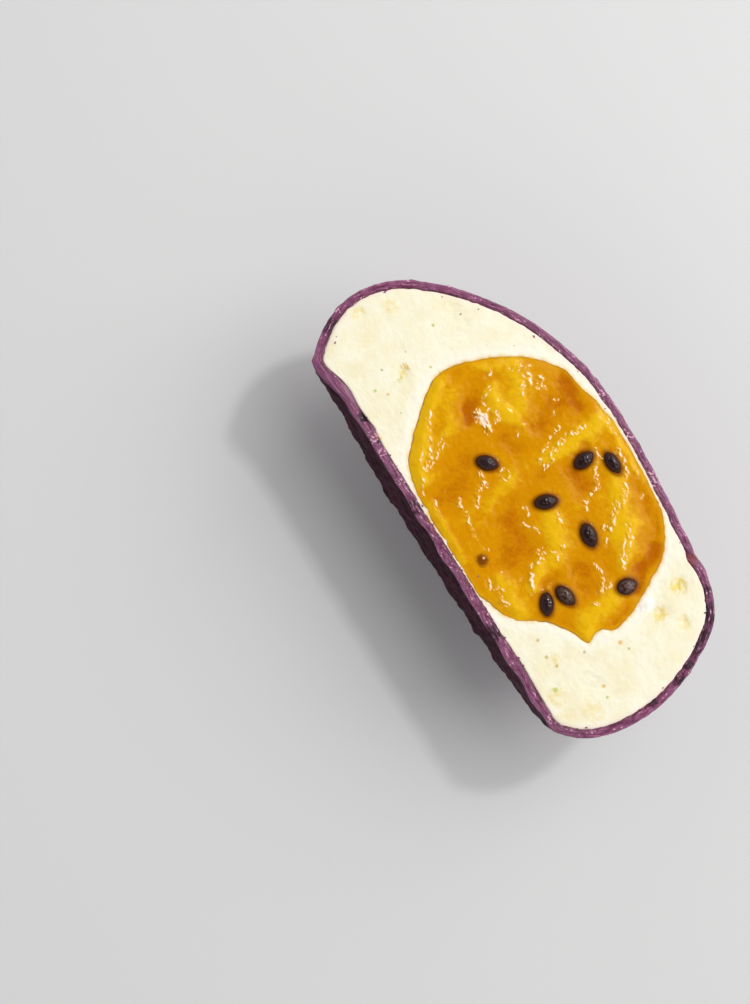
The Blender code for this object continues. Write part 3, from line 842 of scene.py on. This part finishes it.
bowl_rows = CREAM_ROWS - WALL_ROWS - FACE_ROWS
in_bowl = np.clip((row - WALL_ROWS - FACE_ROWS) / bowl_rows, 0, 1) * pi / 2
bowl = CENTRE_AT + flat * ((edge_reach - UNDER_JELLY) * np.cos(in_bowl))[:, None]
bowl[:, 2] = -EDGE_DROP - (JELLY_DEPTH + BOWL_GAP) * np.sin(in_bowl)
print("the cut cream is rough by", round(float(np.ptp(roughness)), 2), "mm")

# %% Cream as a piece
places = np.where((row < WALL_ROWS)[:, None], wall, face)
places = np.where((row > WALL_ROWS + FACE_ROWS)[:, None], bowl, places)
place_corners(bm, places)
from_middle = np.hypot(*(places - CENTRE_AT)[:, :2].T)
to_edge, to_wall = from_middle - edge_reach, wall_reach - from_middle
masks = {
    "near_jelly": 1 - rise(to_edge, 0.3, 4.5),
    "stain": 1 - rise(to_edge, -0.1, 1.2),
    "near_coat": 1 - rise(to_wall, 0.1, 1.6),
}
cream = to_piece(bm, "cream", [set_cream], masks)
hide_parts("cream_filling")

# %% [markdown]
# ## Relief of the jelly
# Cut jelly with pulp in it is not flat. Broad soft folds of pulp stand up, bright yellow, and clear jelly
# lies in the hollows between them, deep orange. One list gives both: a bent line, how wide it is, and how
# much it rises or, below zero, sinks. Wet, torn pulp is strewn over this along crooked tracks, each of which
# is a second list's line with a width and a height. Near each track the surface breaks up into lumps of
# less than a millimetre, and clusters of small glints are painted later on their sides that face the light.
# One bubble left a ring.

# %% Folds and hollows
# Half width in millimetres, how strongly the surface rises or sinks, then the line.
FOLDS = [
    (2.4, 0.7, [(-27.5, 35.0), (-22.0, 33.4), (-16.0, 30.6)]),
    (2.0, 1.0, [(-23.0, 27.2), (-18.0, 26.8)]), (1.4, 0.5, [(-18.0, 27.4), (-10.0, 29.4)]),
    (2.3, 0.9, [(-31.4, 17.0), (-26.0, 11.0), (-20.0, 6.0), (-15.0, 2.8)]),
    (1.2, 0.4, [(-20.6, 13.4), (-17.2, 8.0)]), (2.1, 0.9, [(-4.6, 44.4), (-3.6, 38.0), (-3.4, 30.0)]),
    (1.7, 0.5, [(-4.4, 22.0), (-2.8, 16.0), (-1.0, 12.0)]),
    (2.3, 0.85, [(10.0, 40.0), (16.0, 38.0), (20.0, 34.6)]), (1.5, 0.7, [(19.6, 38.4), (26.6, 31.4)]),
    (2.6, 0.8, [(8.6, 23.2), (13.6, 22.0), (16.4, 20.0)]), (1.7, 1.0, [(16.0, 15.6), (19.4, 12.2)]),
    (2.4, 0.8, [(31.0, 25.6), (33.0, 18.6), (35.4, 16.6)]),
    (2.1, 0.8, [(14.0, 6.6), (19.0, 6.4), (24.0, 5.4)]), (1.0, 0.7, [(-9.0, 1.8), (6.0, 1.2)]),
    (1.0, 0.6, [(-6.0, 46.4), (12.0, 45.8)]), (1.4, 0.5, [(-29.6, 27.6), (-27.4, 31.6)]),
    (2.2, -1.1, [(-17.0, 43.2), (-9.6, 42.4)]), (3.2, -0.8, [(-13.6, 38.0), (-10.4, 32.6)]),
    (2.0, -1.4, [(-22.2, 20.6), (-20.6, 19.8)]), (2.4, -0.5, [(-27.0, 25.6), (-22.0, 21.0)]),
    (2.6, -0.7, [(-12.4, 23.8), (-9.2, 25.0)]), (3.4, -0.7, [(-13.6, 14.0), (-9.0, 10.0), (-8.4, 5.0)]),
    (2.3, -1.0, [(1.6, 33.4), (6.4, 33.8)]), (1.0, -0.9, [(-1.4, 38.6), (-0.8, 36.0)]),
    (2.2, -0.5, [(-1.0, 28.0), (1.6, 20.0)]), (3.4, -0.9, [(4.0, 14.6), (11.6, 15.0), (11.0, 9.6)]),
    (1.7, -0.7, [(12.6, 44.0), (21.0, 43.6), (28.0, 39.8)]), (2.3, -0.9, [(27.6, 40.0), (28.6, 36.0)]),
    (2.9, -0.9, [(21.6, 23.2), (25.6, 22.2)]), (1.5, -0.9, [(29.0, 34.8), (33.6, 32.0)]),
    (1.5, -0.7, [(35.4, 27.4), (36.6, 23.4)]), (1.9, -0.6, [(27.0, 9.0), (30.6, 12.6)]),
    (1.2, -0.7, [(20.4, 17.4), (20.8, 14.4)]), (2.0, -0.4, [(20.0, 29.4), (26.0, 29.0)]),
    (1.3, -0.5, [(-31.0, 22.6), (-29.6, 19.0)]), (2.4, 0.45, [(-27.0, 18.0), (-21.6, 15.4)]),
    (1.3, 0.6, [(-30.6, 19.6), (-31.0, 16.0)]),
]
FOLD_HEIGHT, HOLLOW_EASE, JELLY_SWELL, TORN_STAND = 0.38, 1.3, 0.15, 0.7
print(sum(up > 0 for _, up, _ in FOLDS), "folds and", sum(up < 0 for _, up, _ in FOLDS), "hollows")

# %% Tracks of torn pulp
# Half width and height in millimetres, then the line.
TRACKS = [
    (0.75, 0.30, [(-25.6, 36.4), (-24.4, 35.2)]),
    (0.60, 0.24, [(-23.8, 37.4), (-22.8, 36.4), (-22.2, 35.2)]),
    (0.65, 0.32, [(-22.0, 36.2), (-20.4, 36.0), (-19.8, 35.4)]),
    (0.55, 0.32, [(-21.0, 34.4), (-20.0, 33.2), (-18.8, 32.5)]),
    (0.65, 0.34, [(-19.8, 38.4), (-18.8, 37.4), (-18.2, 36.6)]),
    (0.40, 0.22, [(-17.9, 37.6), (-17.3, 37.9)]),
    (0.50, 0.18, [(-27.4, 33.4), (-26.0, 33.8), (-24.8, 33.4)]),
    (0.60, 0.30, [(-27.6, 29.8), (-26.8, 29.0), (-26.6, 28.0)]),
    (0.45, 0.22, [(-23.9, 27.2), (-23.4, 26.0), (-22.6, 24.6), (-21.0, 24.0)]),
    (0.50, 0.28, [(-20.0, 24.4), (-18.4, 25.6), (-17.0, 25.2), (-16.8, 24.2)]),
    (1.00, 0.80, [(-20.9, 21.8), (-19.4, 22.6), (-18.2, 22.2), (-16.2, 22.0)]),
    (0.40, 0.22, [(-15.4, 21.8), (-14.9, 21.6)]), (0.45, 0.26, [(-12.4, 27.4), (-11.4, 27.0)]),
    (0.35, 0.18, [(-14.2, 38.2), (-13.6, 38.9)]), (0.35, 0.16, [(-11.8, 36.8), (-11.0, 36.4)]),
    (0.60, 0.36, [(-5.3, 40.6), (-5.2, 38.4), (-5.5, 36.6)]),
    (0.50, 0.34, [(-8.0, 36.0), (-7.8, 35.0)]), (0.45, 0.26, [(-7.5, 34.0), (-7.2, 32.8)]),
    (0.60, 0.40, [(-5.0, 35.0), (-4.3, 32.4), (-3.8, 31.0)]),
    (0.45, 0.28, [(-6.0, 31.8), (-5.4, 29.7)]),
    (0.55, 0.40, [(-2.7, 30.6), (-2.0, 29.2), (-2.0, 28.2), (-3.9, 28.2)]),
    (0.60, 0.40, [(-8.7, 15.1), (-7.0, 14.8), (-5.4, 14.7), (-6.2, 13.8), (-5.0, 12.4),
        (-4.0, 11.4), (-2.8, 10.6)]),
    (0.50, 0.28, [(-26.6, 12.8), (-25.0, 11.2), (-23.0, 10.8)]),
    (0.32, 0.26, [(-20.8, 13.2), (-19.2, 10.4)]), (0.32, 0.24, [(-18.7, 11.8), (-17.8, 10.4)]),
    (0.30, 0.26, [(-18.2, 10.0), (-16.9, 8.6), (-15.6, 5.2)]),
    (0.65, 0.32, [(-21.6, 9.5), (-20.0, 9.0), (-18.8, 8.0), (-17.4, 7.4)]),
    (0.60, 0.36, [(-17.1, 6.2), (-16.2, 4.8)]),
    (0.45, 0.26, [(-20.6, 6.8), (-19.4, 6.4), (-18.2, 5.0)]),
    (0.40, 0.30, [(-14.8, 3.8), (-13.0, 2.3), (-11.0, 1.3)]),
    (0.50, 0.34, [(-6.1, 8.0), (-5.0, 7.2), (-3.1, 7.6)]),
    (0.50, 0.32, [(-2.1, 7.6), (-1.0, 6.9), (0.1, 6.9)]), (0.35, 0.18, [(0.8, 7.0), (2.8, 6.7)]),
    (0.35, 0.18, [(-9.0, 3.1), (-7.0, 2.6), (-5.0, 1.8)]),
    (0.50, 0.32, [(2.9, 44.5), (6.0, 44.4), (8.6, 43.6), (9.7, 42.7)]),
    (0.45, 0.24, [(8.4, 45.8), (9.8, 45.6), (11.2, 44.9)]),
    (0.80, 0.42, [(11.0, 41.6), (12.6, 40.8), (13.6, 39.9)]),
    (0.70, 0.38, [(14.6, 38.6), (13.4, 37.6), (14.6, 36.8), (16.0, 35.4), (17.2, 34.2),
        (17.8, 33.1), (16.4, 32.5)]),
    (0.55, 0.34, [(19.0, 37.6), (20.6, 36.6), (21.6, 35.6), (22.0, 34.4), (23.4, 33.3),
        (25.0, 32.1), (26.9, 31.3)]),
    (0.45, 0.26, [(21.8, 36.8), (23.2, 35.0), (24.6, 33.6), (26.0, 32.2)]),
    (0.45, 0.26, [(19.2, 31.6), (20.6, 30.8)]), (0.50, 0.28, [(3.6, 38.9), (4.4, 37.6), (5.6, 37.6)]),
    (0.65, 0.38, [(5.8, 37.0), (7.2, 36.5), (8.2, 35.8)]),
    (0.50, 0.32, [(8.3, 35.0), (9.0, 33.6), (9.6, 32.2)]), (0.60, 0.36, [(9.4, 31.9), (10.9, 31.4)]),
    (0.40, 0.24, [(0.4, 40.4), (2.0, 39.8), (3.2, 40.4)]), (0.55, 0.30, [(9.0, 25.1), (10.3, 24.7)]),
    (0.45, 0.22, [(2.8, 19.4), (4.2, 19.8), (5.3, 19.3)]),
    (0.38, 0.26, [(6.0, 17.2), (7.6, 18.0), (8.6, 19.0), (9.9, 19.4)]),
    (0.50, 0.26, [(15.3, 22.4), (15.7, 21.6)]),
    (0.50, 0.28, [(15.3, 19.5), (16.2, 20.1), (17.3, 19.8)]),
    (0.55, 0.32, [(13.2, 17.9), (13.7, 16.8), (14.5, 17.8)]),
    (0.50, 0.32, [(15.2, 16.6), (15.5, 15.0), (15.2, 13.3)]),
    (0.60, 0.40, [(17.0, 13.0), (17.8, 12.2), (19.0, 11.7), (20.7, 11.0)]),
    (0.35, 0.18, [(16.0, 10.4), (17.0, 10.0)]),
    (0.40, 0.20, [(22.8, 26.2), (25.0, 26.6), (27.4, 26.1)]),
    (0.65, 0.36, [(27.5, 25.4), (28.4, 26.6), (28.7, 25.0), (28.8, 23.7)]),
    (0.40, 0.28, [(29.9, 21.3), (30.9, 22.1)]),
    (0.60, 0.34, [(12.9, 3.7), (14.2, 3.3), (15.2, 3.7), (15.3, 4.8)]),
    (0.60, 0.36, [(16.5, 5.2), (17.6, 4.1), (18.6, 3.7), (19.8, 4.6)]),
    (0.30, 0.16, [(6.3, 7.0), (7.0, 7.6)]), (0.30, 0.14, [(12.9, 7.5), (13.3, 7.2)]),
    (0.35, 0.16, [(21.2, 15.4), (21.6, 14.6)]), (0.40, 0.22, [(-7.6, 46.1), (-3.0, 45.7), (1.0, 46.1)]),
    (0.35, 0.16, [(15.0, 44.0), (15.4, 43.2)]),
]
BUBBLE_AT, BUBBLE_RADIUS, BUBBLE_EDGE, BIG_GLINT_AT = (-5.6, 19.6), 1.2, 0.35, (-18.8, 22.3)
print(len(TRACKS), "tracks of", sum(len(line) - 1 for _, _, line in TRACKS), "runs")

# %% [markdown]
# ## The seeds
# A passion fruit seed is a flat, pointed drop about five and a half millimetres long. Eight lie in the cut,
# half sunk. They were measured one by one: place, turn, length and width. Their list comes before the jelly,
# because the jelly has to climb up round them.

# %% Seed list
SEEDS = [
    ((-9.8, 17.8), 42.0, 5.3, 3.4), ((1.3, 36.8), 98.0, 5.2, 3.6), ((5.3, 42.0), 2.0, 5.6, 3.1),
    ((4.8, 24.5), 66.0, 5.5, 3.5), ((16.4, 28.7), -8.0, 5.9, 3.6), ((30.8, 29.9), 76.0, 4.9, 3.8),
    ((25.2, 16.9), 14.0, 5.7, 3.4), ((24.6, 12.3), -26.0, 5.5, 3.2),
]
SUNK_AT, SUNK_LENGTH, SUNK_MOUND_AT, SUNK_GLINT_AT = (8.3, 5.2), 3.6, (8.0, 5.4), (8.1, 5.7)
SEED_THICKNESS, SEED_PROUD, SEED_TAPER = 2.5, 0.1, 0.32


def seed_distance(places, seed):
    """Distance from a seed's outline on the face, as a share of its size: 1 on the outline."""
    at, turn, length, width = seed
    off = places[:, :2] - np.array(at)
    along = off[:, 0] * cos(radians(turn)) + off[:, 1] * sin(radians(turn))
    aside = off[:, 1] * cos(radians(turn)) - off[:, 0] * sin(radians(turn))
    return np.hypot(2 * along / length, 2 * aside / width)


print(len(SEEDS), "seeds,", sum(seed[2] for seed in SEEDS) / len(SEEDS), "mm long on average")


# %% Height of the jelly
SEED_CLIMB, CLIMB_WIDTH, SEED_POCKET, SUNK_MOUND = 0.12, 0.16, 0.5, 0.28


def shaken(places, amount, size, shift):
    """The places moved about on the face, so that straight lines drawn there come out crooked."""
    along, up = (amount * soft_noise(places, size, shift + step) for step in (0.0, 2.0))
    return places + np.column_stack((along, up, 0 * up))


def fold_share(places):
    """How bright and high each place is for its folds and hollows, about -1 to 1."""
    bent = shaken(places, 0.7, 3.0, 51.0)
    share = np.zeros(len(places))
    for half_width, up, line in FOLDS:
        share += up * bell(line_distance(bent, line), half_width)
    return share + 0.22 * soft_noise(bent, 4.5, 41.0) + 0.10 * soft_noise(bent, 1.5, 42.0)


def fold_rise(share):
    """Height of the folds and hollows. The hollows ease off, so that none has steep sides."""
    return FOLD_HEIGHT * np.where(share > 0, share, np.tanh(HOLLOW_EASE * share) / HOLLOW_EASE)


def torn_pulp(places):
    """How near each place is to a track of torn pulp, and how far its lumps stand up."""
    share, height = np.zeros(len(places)), np.zeros(len(places))
    bent = shaken(places, 0.35, 1.2, 55.0)
    for half_width, up, line in TRACKS:
        near = bell(line_distance(bent, line), half_width)
        share, height = np.maximum(share, near), np.maximum(height, up * near)
    ring = bell(np.hypot(*(bent[:, :2] - np.array(BUBBLE_AT)).T) - BUBBLE_RADIUS, BUBBLE_EDGE)
    share, height = np.maximum(share, 0.8 * ring), np.maximum(height, 0.30 * ring)
    lumps = rise(soft_noise(places, 0.95, 43.0), -0.30, 0.35)
    return share, height * (0.35 + lumps) + 0.05 * share * soft_noise(places, 0.4, 47.0, 1)


def jelly_height(places, folds, torn):
    """The whole relief, with the climb round the seeds and a low mound over the sunk one."""
    height = JELLY_SWELL + fold_rise(folds) + TORN_STAND * torn + 0.04 * soft_noise(places, 1.4, 45.0)
    for seed in SEEDS:
        away = seed_distance(places, seed)
        height += SEED_CLIMB * bell(away - 1.0, CLIMB_WIDTH) - SEED_POCKET * (1 - rise(away, 0.4, 0.9))
    return height + SUNK_MOUND * bump_at(places, SUNK_MOUND_AT, 0.7)


print("height of a fold:", round(float(fold_rise(fold_share(np.array([(-26.0, 11.0, 0.0)])))[0]), 2), "mm")

# %% [markdown]
# ## Finish of the jelly
# It is clear amber with pulp in it: deep orange where it is clear and thick, bright yellow on the folds,
# darkest close round a seed, and wet all over. Masks kept on the corners carry this: how high a place
# stands, how near it is to torn pulp, to a seed or to the edge, and which sides of the lumps face the light,
# where glints are painted as pale highlights. One more seed is wholly sunk, so it only shows as a brown
# spot with a small painted glint.

# %% Jelly finish
fruit_jelly, tree, shader = finish(
    "fruit_jelly", Roughness=0.12, Specular_IOR_Level=0.08, Subsurface_Weight=0.10, Subsurface_Scale=MM
)
shader["Subsurface Radius"].default_value = (0.9, 0.6, 0.1)
place = use(tree, millimetres)["Place"]
cloud = add(tree, "ShaderNodeTexNoise", Vector=place, Scale=0.30, Detail=4.0, Distortion=0.9)
cloud = cloud.outputs["Fac"]
wisps = add(tree, "ShaderNodeTexNoise", Vector=place, Scale=0.55, Detail=5.0, Distortion=2.2)
wisps = wisps.outputs["Fac"]
pulp = grains(tree, place, 1.6, 0.5)
level = mask_on(tree, "standing")
for unevenness, amount in ((cloud, 0.55), (pulp, 0.20), (wisps, 0.55)):
    level = sway(tree, level, unevenness, amount)
base = blend(tree, ramp(tree, level, -0.25, 0.40), colour(180, 98, 3), colour(207, 138, 3))
base = blend(tree, ramp(tree, level, 0.40, 0.98), base, colour(226, 176, 18))
print("the clear jelly and the folds take", len(tree.nodes), "nodes")

# %% Pulp, edge, seeds and painted glints of the jelly
torn_mask, painted_glint_mask = mask_on(tree, "torn"), mask_on(tree, "painted_glint")
base = laid_over(tree, base, torn_mask, 0.30, colour(226, 174, 40))
base = laid_over(tree, base, mask_on(tree, "edge"), 0.45, colour(214, 158, 20))
brim = math(tree, "MULTIPLY", mask_on(tree, "brim"), ramp(tree, cloud, 0.40, 0.56))
base = laid_over(tree, base, brim, 0.5, colour(156, 112, 34))
base = laid_over(tree, base, mask_on(tree, "by_seed"), 0.85, colour(118, 56, 4))
sunk = spot(tree, place, (*SUNK_AT, 0.2), SUNK_LENGTH / 2, 1.3)
base = laid_over(tree, base, sunk, 0.90, colour(110, 52, 10))
# Painted highlights: pale peach, then near white, where the glint mask is strong.
base = blend(tree, ramp(tree, painted_glint_mask, 0.0, 0.60), base, colour(246, 198, 130))
base = blend(tree, ramp(tree, painted_glint_mask, 0.55, 1.10), base, colour(252, 228, 208))
tree.links.new(base, shader["Base Color"])
crinkle = math(tree, "MULTIPLY", torn_mask, 1.5)
crinkle = math(tree, "MULTIPLY", grains(tree, place, 0.45, 0.5), crinkle)
height = math(tree, "ADD", math(tree, "MULTIPLY", pulp, 0.5), crinkle)
tree.links.new(bump(tree, height, 0.5, 0.3 * MM), shader["Normal"])
print("the jelly's finish takes", len(tree.nodes), "nodes")

# %% [markdown]
# ## The jelly
# A ball again: nearly all its rows go to the cut face, where the relief is, and a few to the bowl below.

# %% Places on the top of the jelly
JELLY_AROUND, JELLY_ROWS, JELLY_BOWL_ROWS, TOP_EASE = 620, 160, 12, 0.9
bm, turn, row = ball(JELLY_AROUND, JELLY_ROWS)
edge_reach = np.interp(turn, angles, reach_table)
share = np.clip((JELLY_ROWS - row) / (JELLY_ROWS - JELLY_BOWL_ROWS), 0, 1) ** TOP_EASE
top = CENTRE_AT + arrows(turn) * (share * edge_reach)[:, None]
to_edge = (1 - share) * edge_reach
inside = rise(to_edge, -0.2, 2.6)
folds = fold_share(top)
torn, lumps = torn_pulp(top)
print("share of the top with torn pulp:", round(float((torn > 0.5).mean()), 3))

# %% Painted glints on the lump sides that face the light
LIGHT_STEP = np.array((0.03, 0.12, 0.0))
facing_light = torn_pulp(top - LIGHT_STEP)[1] - torn_pulp(top + LIGHT_STEP)[1]
facing_light /= 2 * np.linalg.norm(LIGHT_STEP)
# The glints are painted: on the sides of the lumps that slope towards the light, on one big lump and over
# the sunk seed.
painted_glint = rise(facing_light, 0.05, 0.30) * rise(torn, 0.20, 0.55)
painted_glint *= rise(soft_noise(top, 1.1, 59.0, 1), -0.45, 0.05)
big_glint = bump_at(top, BIG_GLINT_AT, 1.5) + 0.45 * soft_noise(top, 0.9, 61.0)
painted_glint = np.maximum(painted_glint, rise(big_glint, 0.35, 0.65))
painted_glint = np.maximum(painted_glint, 0.7 * bump_at(top, SUNK_GLINT_AT, 0.25)) * inside
print("wet share of the top:", round(float((painted_glint > 0.5).mean()), 3))

# %% Shape of the jelly
JELLY_LIFT, BOWL_INSET, BOWL_TOP = 0.02, 0.5, -0.6
top[:, 2] = jelly_height(top, folds, lumps) * inside + JELLY_LIFT
in_bowl = np.clip(1 - row / JELLY_BOWL_ROWS, 0, 1) * pi / 2
bowl = CENTRE_AT + arrows(turn) * ((edge_reach - BOWL_INSET) * np.cos(in_bowl))[:, None]
bowl[:, 2] = BOWL_TOP - JELLY_DEPTH * np.sin(in_bowl)
place_corners(bm, np.where((row >= JELLY_BOWL_ROWS)[:, None], top, bowl))
round_seeds = [bell(np.maximum(seed_distance(top, seed) - 1.0, 0), 0.30) for seed in SEEDS]
masks = {
    "standing": 0.5 + 0.55 * folds, "torn": torn, "painted_glint": painted_glint, "by_seed": np.max(round_seeds, axis=0),
    "edge": 1 - rise(to_edge, 0.0, 1.6), "brim": 1 - rise(to_edge, 0.1, 0.55),
}
jelly = to_piece(bm, "jelly", [fruit_jelly], masks)
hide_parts("passion_fruit_centre")

# %% [markdown]
# ## Finish and shape of a seed
# The shell is hard and wet, brown at its rim, where jelly covers it, and blacker in the middle, where it
# is pitted like a peach stone. Each seed has its own cast in the middle: plum or a little brown, and on two
# seeds a grey that is painted reflection of the sky. A round ball of even triangles is drawn out to a drop,
# because a ball with poles would crowd its faces at the tip. The pits are dents at the middles of a cell
# pattern.


# %% Seed finish
def seed_shell(number, cast_and_sheen):
    """The shell's finish, with this cast in its middle; a grey cast is painted reflection."""
    shell, tree, shader = finish(
        f"seed_shell_{number}",
        Roughness=0.26, Specular_IOR_Level=0.12, Coat_Weight=0.3, Coat_Roughness=0.06,
    )
    mottle = grains(tree, use(tree, millimetres)["Place"], 0.7, 0.6)
    grey = math(tree, "MULTIPLY", mask_on(tree, "crown"), ramp(tree, mottle, 0.36, 0.60))
    tree.links.new(blend(tree, grey, colour(50, 20, 9), cast_and_sheen), shader["Base Color"])
    tree.links.new(bump(tree, mottle, 0.5, 0.2 * MM), shader["Normal"])
    return shell


# %% Shape of a seed
# Colour of each seed's middle. The grey ones, of seeds 6 and 7, are painted reflection of the sky on their
# tops; the others are the shells' own dark colours.
SEED_CASTS_AND_SHEENS = [
    colour(38, 32, 38), colour(22, 12, 20), colour(26, 14, 30), colour(28, 14, 24),
    colour(22, 12, 20), colour(100, 80, 76), colour(82, 66, 56), colour(30, 16, 24),
]
PIT_SIZE, PIT_DEPTH, BLUNT_TAPER = 0.9, 0.16, 0.10


def make_seed(number, seed, cast_and_sheen):
    """One seed: a flat pitted drop with a pointed tip, lying in the jelly."""
    at, turn, length, width = seed
    bm = bmesh.new()
    bmesh.ops.create_icosphere(bm, subdivisions=5, radius=0.5)
    for vertex in bm.verts:
        tip, blunt = max(0.0, 2 * vertex.co.x), max(0.0, -2 * vertex.co.x)
        slim = 1 - SEED_TAPER * tip**2 - BLUNT_TAPER * blunt**4
        slim += 0.04 * noise.noise(vertex.co * 3 + Vector((number, 0, 0)))
        vertex.co = (vertex.co.x * length, vertex.co.y * width * slim, vertex.co.z * SEED_THICKNESS * slim)
    bm.normal_update()
    crown = []
    for vertex in bm.verts:
        inward = 1 - rise(np.hypot(2 * vertex.co.x / length, 2 * vertex.co.y / width), 0.35, 0.95)
        crown.append(inward if vertex.co.z > 0 else 0.0)
        cell = noise.voronoi(vertex.co / PIT_SIZE + Vector((0, 0, 3 * number)))[0][0]
        dent = PIT_DEPTH * (1 - rise(cell, 0.0, 0.55)) * (0.4 + 0.6 * crown[-1])
        vertex.co -= vertex.normal * float(dent)
    level = JELLY_SWELL + float(fold_rise(fold_share(np.array([(*at, 0.0)])))[0]) + SEED_PROUD
    lying_at = Matrix.Translation((FACE_ORIGIN + (*at, level)).tolist())
    matrix = Matrix.Scale(MM, 4) @ lying_at @ Matrix.Rotation(radians(turn), 4, "Z")
    bmesh.ops.transform(bm, matrix=matrix, verts=bm.verts)
    shell = seed_shell(number, cast_and_sheen)
    to_piece(bm, f"seed_{number}", [shell], {"crown": crown})


for number, (seed, cast_and_sheen) in enumerate(zip(SEEDS, SEED_CASTS_AND_SHEENS), start=1):
    make_seed(number, seed, cast_and_sheen)

# %% [markdown]
# ## Camera and light
# The camera looks straight down on the cut face from about a third of a metre, with the half turned
# 58 degrees. One large soft light stands beyond the crown and gives the shadow on the base's side. A small
# bright one near it adds real highlights to the glints that are painted on the jelly and the rim, and a pale
# surround with a darker ceiling fills the rest, so that the wet jelly doesn't mirror a white room. The plain
# "Standard" view keeps the fruit's strong yellow, which the default view would pale.

# %% Camera
camera_data = bpy.data.cameras.new("camera")
camera_data.sensor_width, camera_data.lens = 36.0, 53.6
camera = in_scene("camera", camera_data)
camera.location = (-0.016015, -0.030882, 0.378013)
camera.rotation_euler = (0.0, 0.0, radians(58))
bpy.context.scene.camera = camera
print("camera at", tuple(round(v, 3) for v in camera.location))


# %% Lights
LIT_PLACE = Vector((0, 0, 0.03))


def soft_light(name, place, size, power):
    """A square white light that looks at the cut face."""
    data = bpy.data.lights.new(name, "AREA")
    data.shape, data.size, data.energy = "SQUARE", size, power
    light = in_scene(name, data)
    light.location = place
    light.rotation_euler = (LIT_PLACE - Vector(place)).to_track_quat("-Z", "Y").to_euler()


soft_light("window", (0.14, 1.60, 1.80), 2.60, 50.0)
soft_light("glint", (-0.06, 0.50, 0.75), 0.07, 2.0)
world = bpy.data.worlds.new("pale_room")
world.use_nodes = True
tree = world.node_tree
way = add(tree, "ShaderNodeTexCoord").outputs["Generated"]
upward = add(tree, "ShaderNodeSeparateXYZ", Vector=way).outputs["Z"]
background = tree.nodes["Background"].inputs
background["Color"].default_value = (0.97, 0.97, 1.0, 1.0)
tree.links.new(ramp(tree, upward, 0.62, 0.90, to=(0.72, 0.10)), background["Strength"])
bpy.context.scene.world = world
bpy.context.scene.view_settings.view_transform = "Standard"
print("lights:", [light.name for light in bpy.data.lights], "in", world.name)

# %% Floor
bm = bmesh.new()
bmesh.ops.create_grid(bm, x_segments=1, y_segments=1, size=2.0)
floor_mesh = bpy.data.meshes.new("floor")
bm.to_mesh(floor_mesh)
bm.free()
floor = in_scene("floor", floor_mesh)
plain_floor, tree, shader = finish("plain_floor", Roughness=0.6)
shader["Base Color"].default_value = (0.64, 0.64, 0.63, 1.0)
floor_mesh.materials.append(plain_floor)
floor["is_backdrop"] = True
print("floor of", tuple(floor.dimensions), "m")

# %% [markdown]
# ## Size of the dressed object
# Both boxes are printed: the CAD model's and the dressed object's. The dressed object has to stay as
# large as the CAD model.

# %% Sizes
shown_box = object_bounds()
for box in (cad_box, shown_box):
    print("box, mm:", [tuple(round(v / MM, 1) for v in corner) for corner in box])
